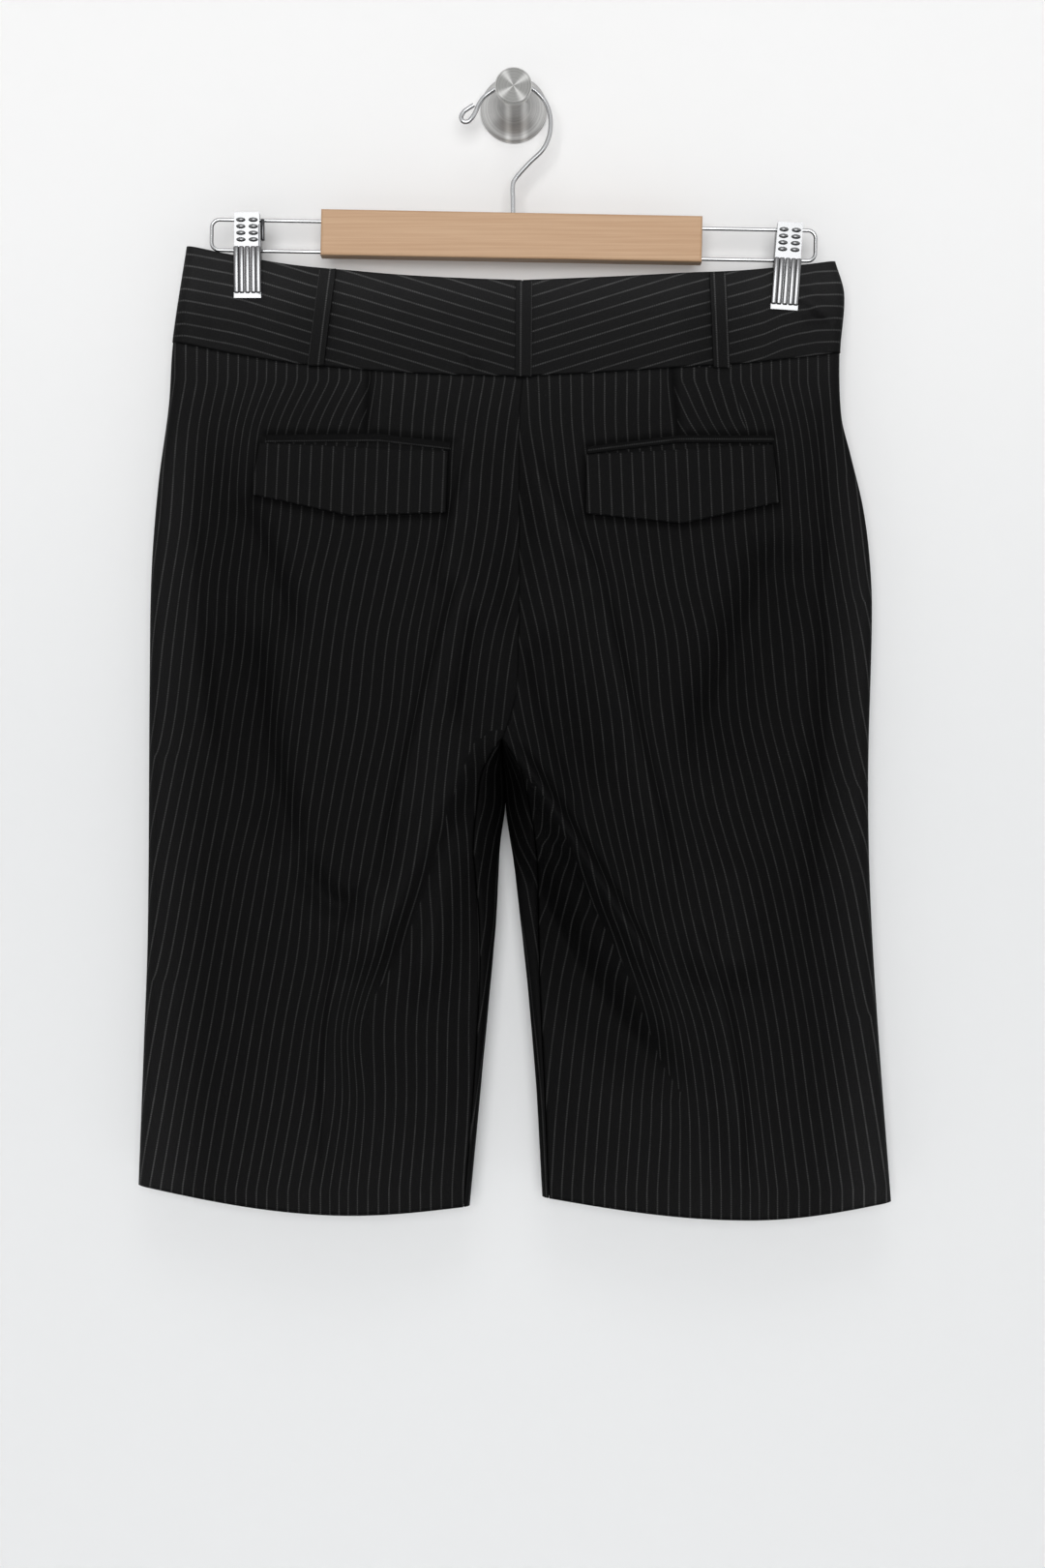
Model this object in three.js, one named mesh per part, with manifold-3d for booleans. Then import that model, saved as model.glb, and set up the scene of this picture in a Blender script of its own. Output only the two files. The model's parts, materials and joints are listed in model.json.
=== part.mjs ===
// Bermuda shorts of pinstriped cloth, seen from the back, hanging by two clips from a hanger on a wall knob.
// Millimetres. +X runs to the right of someone facing the wall, +Y runs into the wall, +Z is up.
// The origin is the middle of the knob's back face, where it meets the wall.
import * as THREE from "three";
import { mergeVertices } from "three/addons/utils/BufferGeometryUtils.js";
import Module from "manifold-3d";

const wasm = await Module();
wasm.setup();

// Driving sizes
const HANG_Y = -30; // the plane of the hook, the bar and the side seams
const PANEL = 1.3; // wall of a panel
const BAND = 2.2; // wall of the waistband: two layers and a stiffener
const TRIM = 1.2; // wall of a flap, a welt or a belt loop
const SEAM = 0.3; // gap between two pieces where they are sewn
const ON_PANEL = 0.6; // gap between a panel and what lies on it
const EDGE_ROUND = 6; // how far in from a side seam the cloth turns
const TILT = -1.05; // degrees by which the bar hangs lower on the right

const CROTCH_Z = -376; // where the four panels meet
const CROTCH_ROW = 0.47; // share of a panel's rows above the crotch
const FORK_ROW = 0.4; // share of the front's rows above the start of its crotch curve
const FORK_ROLL = 0.4; // roll of the front's edge along that curve
const INSEAM_SHARE = 0.8; // how far round the rolled inner edge the back panel reaches
const EDGE_SHARE = 0.14; // share of a row's columns that turn round the side seam

// The outline from the front: x of each edge at named heights.
const LEFT_SIDE = [
  { z: -88, x: -189.4 },
  { z: -144, x: -197.8 },
  { z: -181, x: -200.3 },
  { z: -226, x: -206.3 },
  { z: -277, x: -210.3 },
  { z: -339, x: -211.4 },
  { z: -486, x: -212.5 },
  { z: -553, x: -214.8 },
  { z: -634, x: -217.9 },
];
const RIGHT_SIDE = [
  { z: -97, x: 186.4 },
  { z: -116, x: 191.6 },
  { z: -150, x: 189.3 },
  { z: -187, x: 190.4 },
  { z: -209, x: 195.6 },
  { z: -238, x: 202.6 },
  { z: -266, x: 206.5 },
  { z: -300, x: 208.2 },
  { z: -395, x: 206 },
  { z: -463, x: 207.1 },
  { z: -542, x: 211.6 },
  { z: -644, x: 219.3 },
];
// The inner edge of each leg, and how wide the cloth rolls there before it lies flat.
const LEFT_INNER = [
  { z: -376, x: -8.2, roll: 1 },
  { z: -392, x: -7.8, roll: 14 },
  { z: -412, x: -7.2, roll: 20 },
  { z: -436, x: -8.4, roll: 19 },
  { z: -456, x: -9.5, roll: 13 },
  { z: -481, x: -10.8, roll: 9 },
  { z: -514, x: -13.7, roll: 6 },
  { z: -577, x: -19.6, roll: 4.5 },
  { z: -647, x: -26.2, roll: 4 },
];
const RIGHT_INNER = [
  { z: -376, x: -5.6, roll: 1 },
  { z: -392, x: -5, roll: 12 },
  { z: -419, x: -4.2, roll: 18 },
  { z: -446, x: 0.6, roll: 17 },
  { z: -471, x: 3.5, roll: 14 },
  { z: -515, x: 8.4, roll: 9 },
  { z: -577, x: 13.7, roll: 6 },
  { z: -641, x: 17.3, roll: 4.5 },
];
const CENTRE_SEAM = [
  { z: -110, x: 5.2 },
  { z: -166, x: 5.2 },
  { z: -190, x: 3.4 },
  { z: -340, x: 2.6 },
  { z: -362, x: -1.5 },
  { z: -376, x: -6.9 },
];

// The outline from the side: how far the cloth stands off the hanging plane.
// Edge is at the seams, back and front are at the crown of each layer, and spread is how much
// of a leg's inner side stays full.
const DEPTHS = [
  { z: -88, edge: 3.4, back: 6, front: 3, spread: 1 },
  { z: -145, edge: 4, back: 9, front: 5, spread: 1 },
  { z: -230, edge: 4.6, back: 15, front: 8, spread: 1 },
  { z: -330, edge: 5, back: 18, front: 11, spread: 1 },
  { z: -395, edge: 5, back: 16, front: 11, spread: 0.72 },
  { z: -460, edge: 5, back: 14, front: 10, spread: 0.4 },
  { z: -550, edge: 4.6, back: 13, front: 9, spread: 0.1 },
  { z: -650, edge: 4.2, back: 13, front: 9, spread: 0 },
];

// Each side of the garment: its edges, the heights of its waistband, waist seam and hem, how far
// their middles sag, and where its crease lies and its clip holds.
const SIDES = {
  left: {
    sign: -1,
    edge: LEFT_SIDE,
    inner: LEFT_INNER,
    bandTop: -88.3,
    seam: -144,
    hem: -634.3,
    hemInner: -646.4,
    bandSag: 4.9,
    seamSag: 5.7,
    hemSag: 8,
    creaseShare: 0.56,
    clip: { x: -154.6, top: -70, bottom: -118.7, lean: 0 },
  },
  right: {
    sign: 1,
    edge: RIGHT_SIDE,
    inner: RIGHT_INNER,
    bandTop: -97.1,
    seam: -150,
    hem: -644,
    hemInner: -641.1,
    bandSag: 1.8,
    seamSag: 2,
    hemSag: 9.5,
    creaseShare: 0.42,
    clip: { x: 157.2, top: -75.7, bottom: -125.5, lean: 3.8 },
  },
};
// At the centre line: the top of the waistband and the waist seam of each layer.
const CENTRE = {
  back: { bandTop: -110, seam: -166 },
  front: { bandTop: -124, seam: -180 },
};

// Creases and folds. Rise is how far one stands out (or sinks, if negative), and width is its
// half width.
const FOLDS = [
  { layer: "back", from: [4, -168], via: [3, -250], to: [0, -350], rise: -3, width: 12 },
  { layer: "back", from: [-180, -176], via: [-177, -300], to: [-163, -410], rise: -4, width: 9 },
  { layer: "back", from: [-160, -225], via: [-136, -300], to: [-124, -345], rise: -4, width: 10 },
  { layer: "back", from: [-137, -330], via: [-128, -428], to: [-84, -469], rise: -5, width: 10 },
  { layer: "back", from: [-20, -262], via: [-62, -375], to: [-82, -465], rise: 5, width: 9 },
  { layer: "back", from: [-82, -460], via: [-105, -530], to: [-110, -660], rise: 4, width: 9 },
  { layer: "back", from: [-30, -238], via: [-42, -272], to: [-56, -330], rise: -5, width: 9 },
  { layer: "back", from: [-10, -364], via: [-48, -440], to: [-98, -530], rise: -8, width: 10 },
  { layer: "back", from: [-12, -392], via: [-34, -450], to: [-68, -520], rise: 6, width: 9 },
  { layer: "back", from: [14, -214], via: [35, -258], to: [50, -292], rise: 4, width: 9 },
  { layer: "back", from: [45, -286], via: [80, -385], to: [99, -463], rise: 5, width: 9 },
  { layer: "back", from: [99, -458], via: [123, -538], to: [133, -660], rise: 4, width: 9 },
  { layer: "back", from: [148, -250], via: [118, -325], to: [90, -402], rise: -6, width: 14 },
  { layer: "back", from: [174, -176], via: [175, -330], to: [166, -520], rise: -4, width: 10 },
  { layer: "back", from: [10, -300], via: [26, -378], to: [74, -484], rise: -6, width: 11 },
  { layer: "back", from: [-2, -382], via: [40, -454], to: [96, -545], rise: 6, width: 10 },
  { layer: "back", from: [8, -404], via: [50, -496], to: [110, -592], rise: -7, width: 11 },
  { layer: "front", from: [4, -184], via: [2, -260], to: [0, -335], rise: -2, width: 12 },
  { layer: "front", from: [-92, -200], via: [-98, -400], to: [-110, -660], rise: 4, width: 9 },
  { layer: "front", from: [100, -205], via: [110, -400], to: [131, -660], rise: 4, width: 9 },
  { layer: "front", from: [-6, -352], via: [-60, -392], to: [-128, -400], rise: -4, width: 12 },
  { layer: "front", from: [-4, -356], via: [52, -402], to: [120, -420], rise: -4, width: 12 },
  { layer: "front", from: [-150, -200], via: [-158, -320], to: [-150, -440], rise: -3, width: 12 },
  { layer: "front", from: [152, -210], via: [158, -330], to: [150, -450], rise: -3, width: 12 },
];

// What lies on the back panels, by its corners in x and z.
const FLAPS = [
  {
    side: "left",
    topOuter: [-147, -204],
    topInner: [-37.7, -210],
    bottomOuter: [-150.7, -234],
    tip: [-94, -247],
    bottomInner: [-39, -245.5],
  },
  {
    side: "right",
    topOuter: [149.9, -205],
    topInner: [42, -212],
    bottomOuter: [153, -238.6],
    tip: [97, -251.4],
    bottomInner: [41.5, -246],
  },
];
const WELTS = [
  { side: "left", outer: [-143, -199.4], middle: [-78, -199.6], inner: [-36, -204.8] },
  { side: "right", outer: [150.5, -199.6], middle: [95, -200.4], inner: [42.5, -207.4] },
];
const WELT_HEIGHT = 4.2;
// Belt loops, by the middle of their top and bottom ends.
const LOOPS = [
  { name: "belt_loop_back_left", layer: "back", side: "left", top: [-107.6, -100.5], bottom: [-114.5, -159] },
  { name: "belt_loop_back_centre", layer: "back", side: "right", top: [6, -108.4], bottom: [5.6, -166.5] },
  { name: "belt_loop_back_right", layer: "back", side: "right", top: [118.4, -102.4], bottom: [120.6, -160] },
  { name: "belt_loop_front_left", layer: "front", side: "left", top: [-82, -111.5], bottom: [-86, -170] },
  { name: "belt_loop_front_right", layer: "front", side: "right", top: [88, -114.5], bottom: [91, -171.5] },
];
const FLAP_SPRING = 1.2; // how far a flap's lower edge stands off the panel
const LOOP_WIDTH = 9.5;
const LOOP_SLACK = 1.2; // how far the middle of a loop stands off the band
// The end of the right front waistband crosses the centre line and is buttoned.
const TAB = { right: 26, left: -16, top: -129, bottom: -172, slant: 1.2 };
const BUTTON = { x: -6, z: -150, radius: 7.5, depth: 2.4, rim: 0.8, well: 0.7 };

// Hanger and knob
const BAR = { x: -1.2, z: -82.6, length: 221.5, height: 26.6, depth: 12, ease: 1.2 };
const HOOK_WIRE = 1.3; // radius
const LOOP_WIRE = 1.15; // radius
const WIRE_REACH = { left: -176.6, right: 176.6 };
const WIRE_HEIGHT = 17.8; // between the two runs of a wire loop
const WIRE_DROP = 1.7; // the loop's middle lies this far under the bar's middle
const WIRE_BEND = 3.4;
const WIRE_IN_BAR = 12;
const BORE_PLAY = 0.35;
const HOOK_BORE = 24;
const HOOK_BORE_UP = 1.6; // from the bar's top to the middle of that bore
const KNOB_PROFILE = [
  { radius: 19.8, depth: 0 },
  { radius: 19.8, depth: 2.6 },
  { radius: 18.9, depth: 3.4 },
  { radius: 14.6, depth: 6 },
  { radius: 9.6, depth: 11.5 },
  { radius: 6.3, depth: 19 },
  { radius: 4.7, depth: 27 },
  { radius: 4.6, depth: 33 },
  { radius: 5.4, depth: 40 },
  { radius: 7.2, depth: 43.5 },
  { radius: 10.6, depth: 45.4 },
  { radius: 10.7, depth: 49.2 },
  { radius: 9.9, depth: 50 },
];
const HOOK_PATH = [
  [-0.4, -78],
  [-0.4, -62],
  [-0.5, -53],
  [1.2, -48.2],
  [9, -39.4],
  [16.6, -32],
  [20.4, -24.6],
  [21.6, -16.6],
  [20.6, -8.8],
  [17, -1.6],
  [9.6, 4.6],
  [0.3, 6.4],
  [-8.6, 4.2],
  [-14.8, 0.4],
  [-20.2, -5.2],
  [-25, -10.2],
  [-29, -14.2],
  [-31, -17.4],
  [-28.8, -18.9],
  [-25.6, -16.8],
  [-22.2, -13.2],
];

// Clips: each leaf is a pressed channel, wide at the thumb end and closing on the waistband at the jaw.
const CLIP = {
  topWidth: 14.4,
  jawWidth: 15.8,
  sheet: 0.9,
  thumbOff: 8.4,
  jawOff: 4.2,
  wireClear: 1.7,
  jawLength: 27,
  jawEnd: 4,
  rearShorter: 3,
};
const LAYER_PLAY = 0.2; // between the two layers of the waistband where a clip holds them
const CLOTH_HALF = BAND + LAYER_PLAY + SEAM; // from the hanging plane to a jaw

// A clip holds the cloth flat this far to each side of its middle, and the hold fades over these
// distances.
const PINCH = { flat: 14, outward: 24, inward: 50, down: 95, aboveJaw: 4 };
const LEAST_OFF = 2.2; // the nearest that a layer comes to the hanging plane

// Materials
function finish(color, roughness, metalness) {
  return new THREE.MeshStandardMaterial({ color, roughness, metalness });
}
const clothFinish = () => finish(0x17171a, 0.85, 0);
const chromeFinish = () => finish(0xd9dadc, 0.15, 1);
const woodFinish = () => finish(0xcfa67f, 0.6, 0);
const steelFinish = () => finish(0x9b978f, 0.35, 1);
const buttonFinish = () => finish(0x141416, 0.3, 0);

// Small sums
const lerp = (a, b, t) => a + (b - a) * t;
const clamp = (t, low, high) => Math.min(Math.max(t, low), high);
const smooth = (t) => {
  const c = clamp(t, 0, 1);
  return c * c * (3 - 2 * c);
};
const roundOff = (t) => Math.sqrt(Math.max(0, 1 - (1 - clamp(t, 0, 1)) ** 2));

// A column of a table at height z, on a smooth curve through its rows.
function columnAt(rows, z, column) {
  const last = rows.length - 1;
  if (z >= rows[0].z) return rows[0][column];
  if (z <= rows[last].z) return rows[last][column];
  const i = rows.findIndex((row) => row.z <= z) - 1;
  const slope = (k) => {
    const before = rows[Math.max(k - 1, 0)];
    const after = rows[Math.min(k + 1, last)];
    return (after[column] - before[column]) / (after.z - before.z);
  };
  const span = rows[i + 1].z - rows[i].z;
  const t = (z - rows[i].z) / span;
  return (
    rows[i][column] * (2 * t ** 3 - 3 * t ** 2 + 1) +
    slope(i) * span * (t ** 3 - 2 * t ** 2 + t) +
    rows[i + 1][column] * (3 * t ** 2 - 2 * t ** 3) +
    slope(i + 1) * span * (t ** 3 - t ** 2)
  );
}

const FOLD_STEPS = 14;
const FOLD_TAPER = 0.25; // share of a fold over which each end dies away
// Each fold's curve as a run of points, from a parabola through its three places.
const FOLD_RUNS = FOLDS.map((fold) => {
  const control = [0, 1].map((k) => 2 * fold.via[k] - (fold.from[k] + fold.to[k]) / 2);
  const points = Array.from({ length: FOLD_STEPS + 1 }, (_, i) => {
    const t = i / FOLD_STEPS;
    return [0, 1].map((k) => (1 - t) ** 2 * fold.from[k] + 2 * t * (1 - t) * control[k] + t * t * fold.to[k]);
  });
  return { ...fold, points };
});

function foldRise(layer, x, z) {
  let rise = 0;
  for (const fold of FOLD_RUNS) {
    if (fold.layer !== layer) continue;
    let nearest = Infinity;
    let along = 0;
    for (let i = 0; i < FOLD_STEPS; i++) {
      const [ax, az] = fold.points[i];
      const [bx, bz] = fold.points[i + 1];
      const length2 = (bx - ax) ** 2 + (bz - az) ** 2;
      const t = clamp(((x - ax) * (bx - ax) + (z - az) * (bz - az)) / length2, 0, 1);
      const distance = Math.hypot(x - lerp(ax, bx, t), z - lerp(az, bz, t));
      if (distance < nearest) {
        nearest = distance;
        along = (i + t) / FOLD_STEPS;
      }
    }
    const taper = smooth(along / FOLD_TAPER) * smooth((1 - along) / FOLD_TAPER);
    rise += fold.rise * taper * Math.exp(-((nearest / fold.width) ** 2));
  }
  return rise;
}

// How firmly the clips hold the two layers together at a place: 1 between the jaws, 0 far away.
function pinch(x, z) {
  return Math.max(
    ...Object.values(SIDES).map(({ clip }) => {
      const fade = Math.abs(x) > Math.abs(clip.x) ? PINCH.outward : PINCH.inward;
      const across = smooth(1 - (Math.abs(x - clip.x) - PINCH.flat) / fade);
      const below = smooth(1 - (clip.bottom - PINCH.aboveJaw - z) / PINCH.down);
      return across * below;
    }),
  );
}

// How far a layer stands off the hanging plane at a place that is a share of the way from the side
// seam to the inner edge.
function standOff(layer, share, x, z) {
  const row = (column) => columnAt(DEPTHS, z, column);
  const across = lerp(Math.sin(Math.PI * share), Math.sin((Math.PI / 2) * share), row("spread"));
  const open = row("edge") + row(layer) * Math.max(across, 0) + foldRise(layer, x, z);
  const held = BAND / 2 + LAYER_PLAY;
  return lerp(Math.max(open, LEAST_OFF), held, pinch(x, z));
}

const layerSign = { back: -1, front: 1 };

// The ends of one row of a panel: v is 0 at the waist seam and 1 at the hem.
function panelRow(side, layer, v) {
  const s = SIDES[side];
  const outerZ = lerp(s.seam - SEAM, s.hem, v);
  const waist = CENTRE[layer].seam - SEAM;
  const innerZ =
    v < CROTCH_ROW
      ? lerp(waist, CROTCH_Z, v / CROTCH_ROW)
      : lerp(CROTCH_Z, s.hemInner, (v - CROTCH_ROW) / (1 - CROTCH_ROW));
  const outerX = columnAt(s.edge, outerZ, "x");
  const legs = v >= CROTCH_ROW || (layer === "front" && v > FORK_ROW);
  const innerX = legs
    ? columnAt(s.inner, innerZ, "x")
    : columnAt(CENTRE_SEAM, innerZ, "x") + s.sign * (SEAM / 2);
  const forkRoll = legs ? FORK_ROLL : 0;
  const roll = v >= CROTCH_ROW ? columnAt(s.inner, innerZ, "roll") : forkRoll;
  return { s, outerZ, innerZ, outerX, innerX, roll, inward: -s.sign };
}

// The height of a row at a share of the way across: the waist seam and the hem sag in their middles.
function rowHeight(row, share, v) {
  const { creaseShare, seamSag, hemSag } = row.s;
  const toCrease =
    share < creaseShare
      ? Math.sin(((Math.PI / 2) * share) / creaseShare)
      : Math.cos(((Math.PI / 2) * (share - creaseShare)) / (1 - creaseShare));
  const sag = seamSag * Math.sin(Math.PI * share) * (1 - v) ** 4 + hemSag * toCrease * v ** 4;
  return lerp(row.outerZ, row.innerZ, share) - sag;
}

// How far round the inner edge the front reaches, in quarter turns: it starts under the back's edge
// at the crotch and comes out to the inseam a little way down.
const COMES_OUT = 0.05; // share of the rows over which it comes out
function frontTurnEnd(row, v, backDepth) {
  const underBack = Math.asin(clamp(1 - (PANEL + 2 * SEAM) / backDepth, 0, 1)) / (Math.PI / 2);
  if (v < CROTCH_ROW) return smooth((v - FORK_ROW) / (CROTCH_ROW - FORK_ROW)) * (1 + underBack);
  const inseamTurn = Math.acos(1 - INSEAM_SHARE) / (Math.PI / 2);
  const lastTurn = inseamTurn - (1.5 * SEAM) / Math.max(row.roll, 4);
  return 1 + Math.min(lastTurn, lerp(underBack, 1, (v - CROTCH_ROW) / COMES_OUT));
}

// A point of a panel's middle surface: u is 0 at the side seam and 1 at the inner seam, v runs down.
function panelPoint(side, layer, u, v) {
  const row = panelRow(side, layer, v);
  const width = Math.abs(row.innerX - row.outerX);
  const sign = layerSign[layer];
  const place = (distance, turned, layerHere = layer) => {
    const share = clamp(distance / width, 0, 1);
    const x = row.outerX + row.inward * distance;
    const z = rowHeight(row, share, v);
    const y = HANG_Y + layerSign[layerHere] * standOff(layerHere, share, x, z) * turned;
    return [x, y, z];
  };
  if (u < EDGE_SHARE) {
    const angle = (Math.PI / 2) * (u / EDGE_SHARE);
    const [x, y, z] = place(EDGE_ROUND * (1 - Math.cos(angle)), Math.sin(angle));
    return [x, y + sign * (SEAM / 2) * (1 - Math.sin(angle)), z];
  }
  const t = (u - EDGE_SHARE) / (1 - EDGE_SHARE);
  if (layer === "back") {
    const end = width - row.roll * INSEAM_SHARE;
    const distance = lerp(EDGE_ROUND, end, t);
    const turned = row.roll > 0 ? roundOff((width - distance) / row.roll) : 1;
    return place(distance, turned);
  }
  // The front runs on round the inner edge and meets the back at the inseam.
  const flat = width - EDGE_ROUND - row.roll;
  const frontDepth = standOff("front", 1, row.innerX, row.innerZ);
  const backDepth = standOff("back", 1, row.innerX, row.innerZ);
  const quarter = (depth) => (Math.PI / 2) * Math.hypot(depth, row.roll) * Math.SQRT1_2;
  const first = quarter(frontDepth);
  const second = quarter(backDepth);
  const turnEnd = frontTurnEnd(row, v, backDepth);
  const run = t * (flat + first * Math.min(turnEnd, 1) + second * Math.max(turnEnd - 1, 0));
  if (run <= flat || turnEnd === 0) return place(EDGE_ROUND + Math.min(run, flat), 1);
  const past = run - flat;
  const turn = past < first ? past / first : 1 + (past - first) / second;
  const angle = (Math.PI / 2) * (turn < 1 ? 1 - turn : turn - 1);
  return place(width - row.roll * (1 - Math.cos(angle)), Math.sin(angle), turn < 1 ? "front" : "back");
}

// A point of the waistband's middle surface: v is 0 at its top edge and 1 at the waist seam.
function bandPoint(side, layer, u, v) {
  const s = SIDES[side];
  const outerZ = lerp(s.bandTop, s.seam, v);
  const innerZ = lerp(CENTRE[layer].bandTop, CENTRE[layer].seam, v);
  const outerX = columnAt(s.edge, outerZ, "x");
  const innerX = columnAt(CENTRE_SEAM, innerZ, "x") + s.sign * (SEAM / 2);
  const width = Math.abs(innerX - outerX);
  const edge = u < EDGE_SHARE;
  const angle = (Math.PI / 2) * (u / EDGE_SHARE);
  const distance = edge
    ? EDGE_ROUND * (1 - Math.cos(angle))
    : lerp(EDGE_ROUND, width, (u - EDGE_SHARE) / (1 - EDGE_SHARE));
  const share = distance / width;
  const x = outerX - s.sign * distance;
  const z = lerp(outerZ, innerZ, share) - lerp(s.bandSag, s.seamSag, v) * Math.sin(Math.PI * share);
  const off = lerp(SEAM / 2, standOff(layer, share, x, z), edge ? Math.sin(angle) : 1);
  return [x, HANG_Y + layerSign[layer] * off, z];
}

// The stand-off of a layer at a place given by x and z alone, for what lies on it.
function layerAt(side, layer, x, z) {
  const s = SIDES[side];
  const outerX = columnAt(s.edge, z, "x");
  const innerX = z > CROTCH_Z ? columnAt(CENTRE_SEAM, z, "x") : columnAt(s.inner, z, "x");
  const share = clamp((x - outerX) / (innerX - outerX), 0, 1);
  return standOff(layer, share, x, z);
}

// A closed body from points and faces, turned so that it faces out.
function bodyFrom(points, faces, material, name) {
  const corner = (i) => new THREE.Vector3(...points[i]);
  const volume = faces.reduce((sum, [a, b, c]) => sum + corner(a).dot(corner(b).cross(corner(c))), 0);
  const geometry = new THREE.BufferGeometry();
  geometry.setAttribute("position", new THREE.Float32BufferAttribute(points.flat(), 3));
  geometry.setIndex((volume < 0 ? faces.map(([a, b, c]) => [a, c, b]) : faces).flat());
  geometry.computeVertexNormals();
  const mesh = new THREE.Mesh(geometry, material);
  mesh.name = name;
  return mesh;
}

// A wall of cloth from its middle surface: pointAt(u, v) gives the surface, and the wall grows
// level, half to each side.
function clothWall(name, pointAt, columns, rows, thickness) {
  const step = 1e-3;
  const points = [];
  for (const half of [-0.5, 0.5]) {
    for (let j = 0; j <= rows; j++) {
      for (let i = 0; i <= columns; i++) {
        const [u, v] = [i / columns, j / rows];
        const [x, y, z] = pointAt(u, v);
        const a = pointAt(Math.max(u - step, 0), v);
        const b = pointAt(Math.min(u + step, 1), v);
        const length = Math.hypot(b[0] - a[0], b[1] - a[1]);
        const out = [(b[1] - a[1]) / length, -(b[0] - a[0]) / length];
        points.push([x + out[0] * half * thickness, y + out[1] * half * thickness, z]);
      }
    }
  }
  const layerSize = (columns + 1) * (rows + 1);
  const at = (k, i, j) => k * layerSize + j * (columns + 1) + i;
  const faces = [];
  const quad = (a, b, c, d) => faces.push([a, b, c], [a, c, d]);
  for (let j = 0; j < rows; j++) {
    for (let i = 0; i < columns; i++) {
      quad(at(0, i, j), at(0, i, j + 1), at(0, i + 1, j + 1), at(0, i + 1, j));
      quad(at(1, i, j), at(1, i + 1, j), at(1, i + 1, j + 1), at(1, i, j + 1));
    }
    quad(at(0, 0, j), at(1, 0, j), at(1, 0, j + 1), at(0, 0, j + 1));
    quad(at(0, columns, j), at(0, columns, j + 1), at(1, columns, j + 1), at(1, columns, j));
  }
  for (let i = 0; i < columns; i++) {
    quad(at(0, i, 0), at(0, i + 1, 0), at(1, i + 1, 0), at(1, i, 0));
    quad(at(0, i, rows), at(1, i, rows), at(1, i + 1, rows), at(0, i + 1, rows));
  }
  return bodyFrom(points, faces, clothFinish(), name);
}

// Booleans on closed geometries
function solidOf(geometry) {
  const bare = geometry.clone();
  bare.deleteAttribute("normal");
  bare.deleteAttribute("uv");
  const merged = mergeVertices(bare, 1e-4);
  return new wasm.Manifold(
    new wasm.Mesh({
      numProp: 3,
      vertProperties: new Float32Array(merged.attributes.position.array),
      triVerts: new Uint32Array(merged.index.array),
    }),
  );
}
function geometryOf(solid) {
  const mesh = solid.getMesh();
  const geometry = new THREE.BufferGeometry();
  geometry.setAttribute("position", new THREE.BufferAttribute(mesh.vertProperties, 3));
  geometry.setIndex(new THREE.BufferAttribute(mesh.triVerts, 1));
  geometry.computeVertexNormals();
  return geometry;
}
function named(geometry, material, name) {
  const mesh = new THREE.Mesh(geometry, material);
  mesh.name = name;
  return mesh;
}

// A round wire along a smooth path
function wireGeometry(path, radius, steps, sides) {
  const section = new THREE.Shape();
  section.absarc(0, 0, radius, 0, Math.PI * 2);
  return new THREE.ExtrudeGeometry(section, {
    steps,
    curveSegments: sides,
    bevelEnabled: false,
    extrudePath: new THREE.CatmullRomCurve3(path, false, "centripetal"),
  });
}

// Panels and waistband
const PANEL_COLUMNS = 18;
const PANEL_ROWS = 24;
const BAND_COLUMNS = 18;
const BAND_ROWS = 3;

function panel(side, layer) {
  const pointAt = (u, v) => panelPoint(side, layer, u, v);
  return clothWall(`${layer}_${side}`, pointAt, PANEL_COLUMNS, PANEL_ROWS, PANEL);
}

function waistband(side, layer) {
  const pointAt = (u, v) => bandPoint(side, layer, u, v);
  return clothWall(`waistband_${layer}_${side}`, pointAt, BAND_COLUMNS, BAND_ROWS, BAND);
}

// A piece of each side and layer
function quarters(makePiece) {
  return Object.keys(layerSign).flatMap((layer) =>
    Object.keys(SIDES).map((side) => makePiece(side, layer)),
  );
}

// A strip or flap that lies on a layer: placeAt(u, v) gives its x and z, and liftAt its extra height.
function onLayer(name, side, layer, under, placeAt, columns, rows, liftAt) {
  const off = under / 2 + TRIM / 2;
  const pointAt = (u, v) => {
    const [x, z] = placeAt(u, v);
    const stand = layerAt(side, layer, x, z) + off + liftAt(u, v);
    return [x, HANG_Y + layerSign[layer] * stand, z];
  };
  return clothWall(name, pointAt, columns, rows, TRIM);
}

function mixPoint(a, b, t) {
  return [lerp(a[0], b[0], t), lerp(a[1], b[1], t)];
}

// A place along two straight runs that meet in the middle
function bentLine(start, middle, end, u) {
  return u < 0.5 ? mixPoint(start, middle, u * 2) : mixPoint(middle, end, u * 2 - 1);
}

const FLAP_COLUMNS = 14;

function pocketFlap(flap) {
  const placeAt = (u, v) => {
    const top = mixPoint(flap.topOuter, flap.topInner, u);
    const bottom = bentLine(flap.bottomOuter, flap.tip, flap.bottomInner, u);
    return mixPoint(top, bottom, v);
  };
  const lift = (u, v) => ON_PANEL + FLAP_SPRING * v;
  const name = `pocket_flap_${flap.side}`;
  return onLayer(name, flap.side, "back", PANEL, placeAt, FLAP_COLUMNS, 3, lift);
}

function pocketWelt(welt) {
  const placeAt = (u, v) => {
    const [x, z] = bentLine(welt.outer, welt.middle, welt.inner, u);
    return [x, z - v * WELT_HEIGHT];
  };
  const name = `pocket_welt_${welt.side}`;
  return onLayer(name, welt.side, "back", PANEL, placeAt, FLAP_COLUMNS, 1, () => ON_PANEL);
}

function beltLoop(loop) {
  const placeAt = (u, v) => {
    const [x, z] = mixPoint(loop.top, loop.bottom, v);
    return [x + (u - 0.5) * LOOP_WIDTH, z];
  };
  const lift = (u, v) => SEAM + LOOP_SLACK * Math.sin(Math.PI * v);
  return onLayer(loop.name, loop.side, loop.layer, BAND, placeAt, 2, 6, lift);
}

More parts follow.
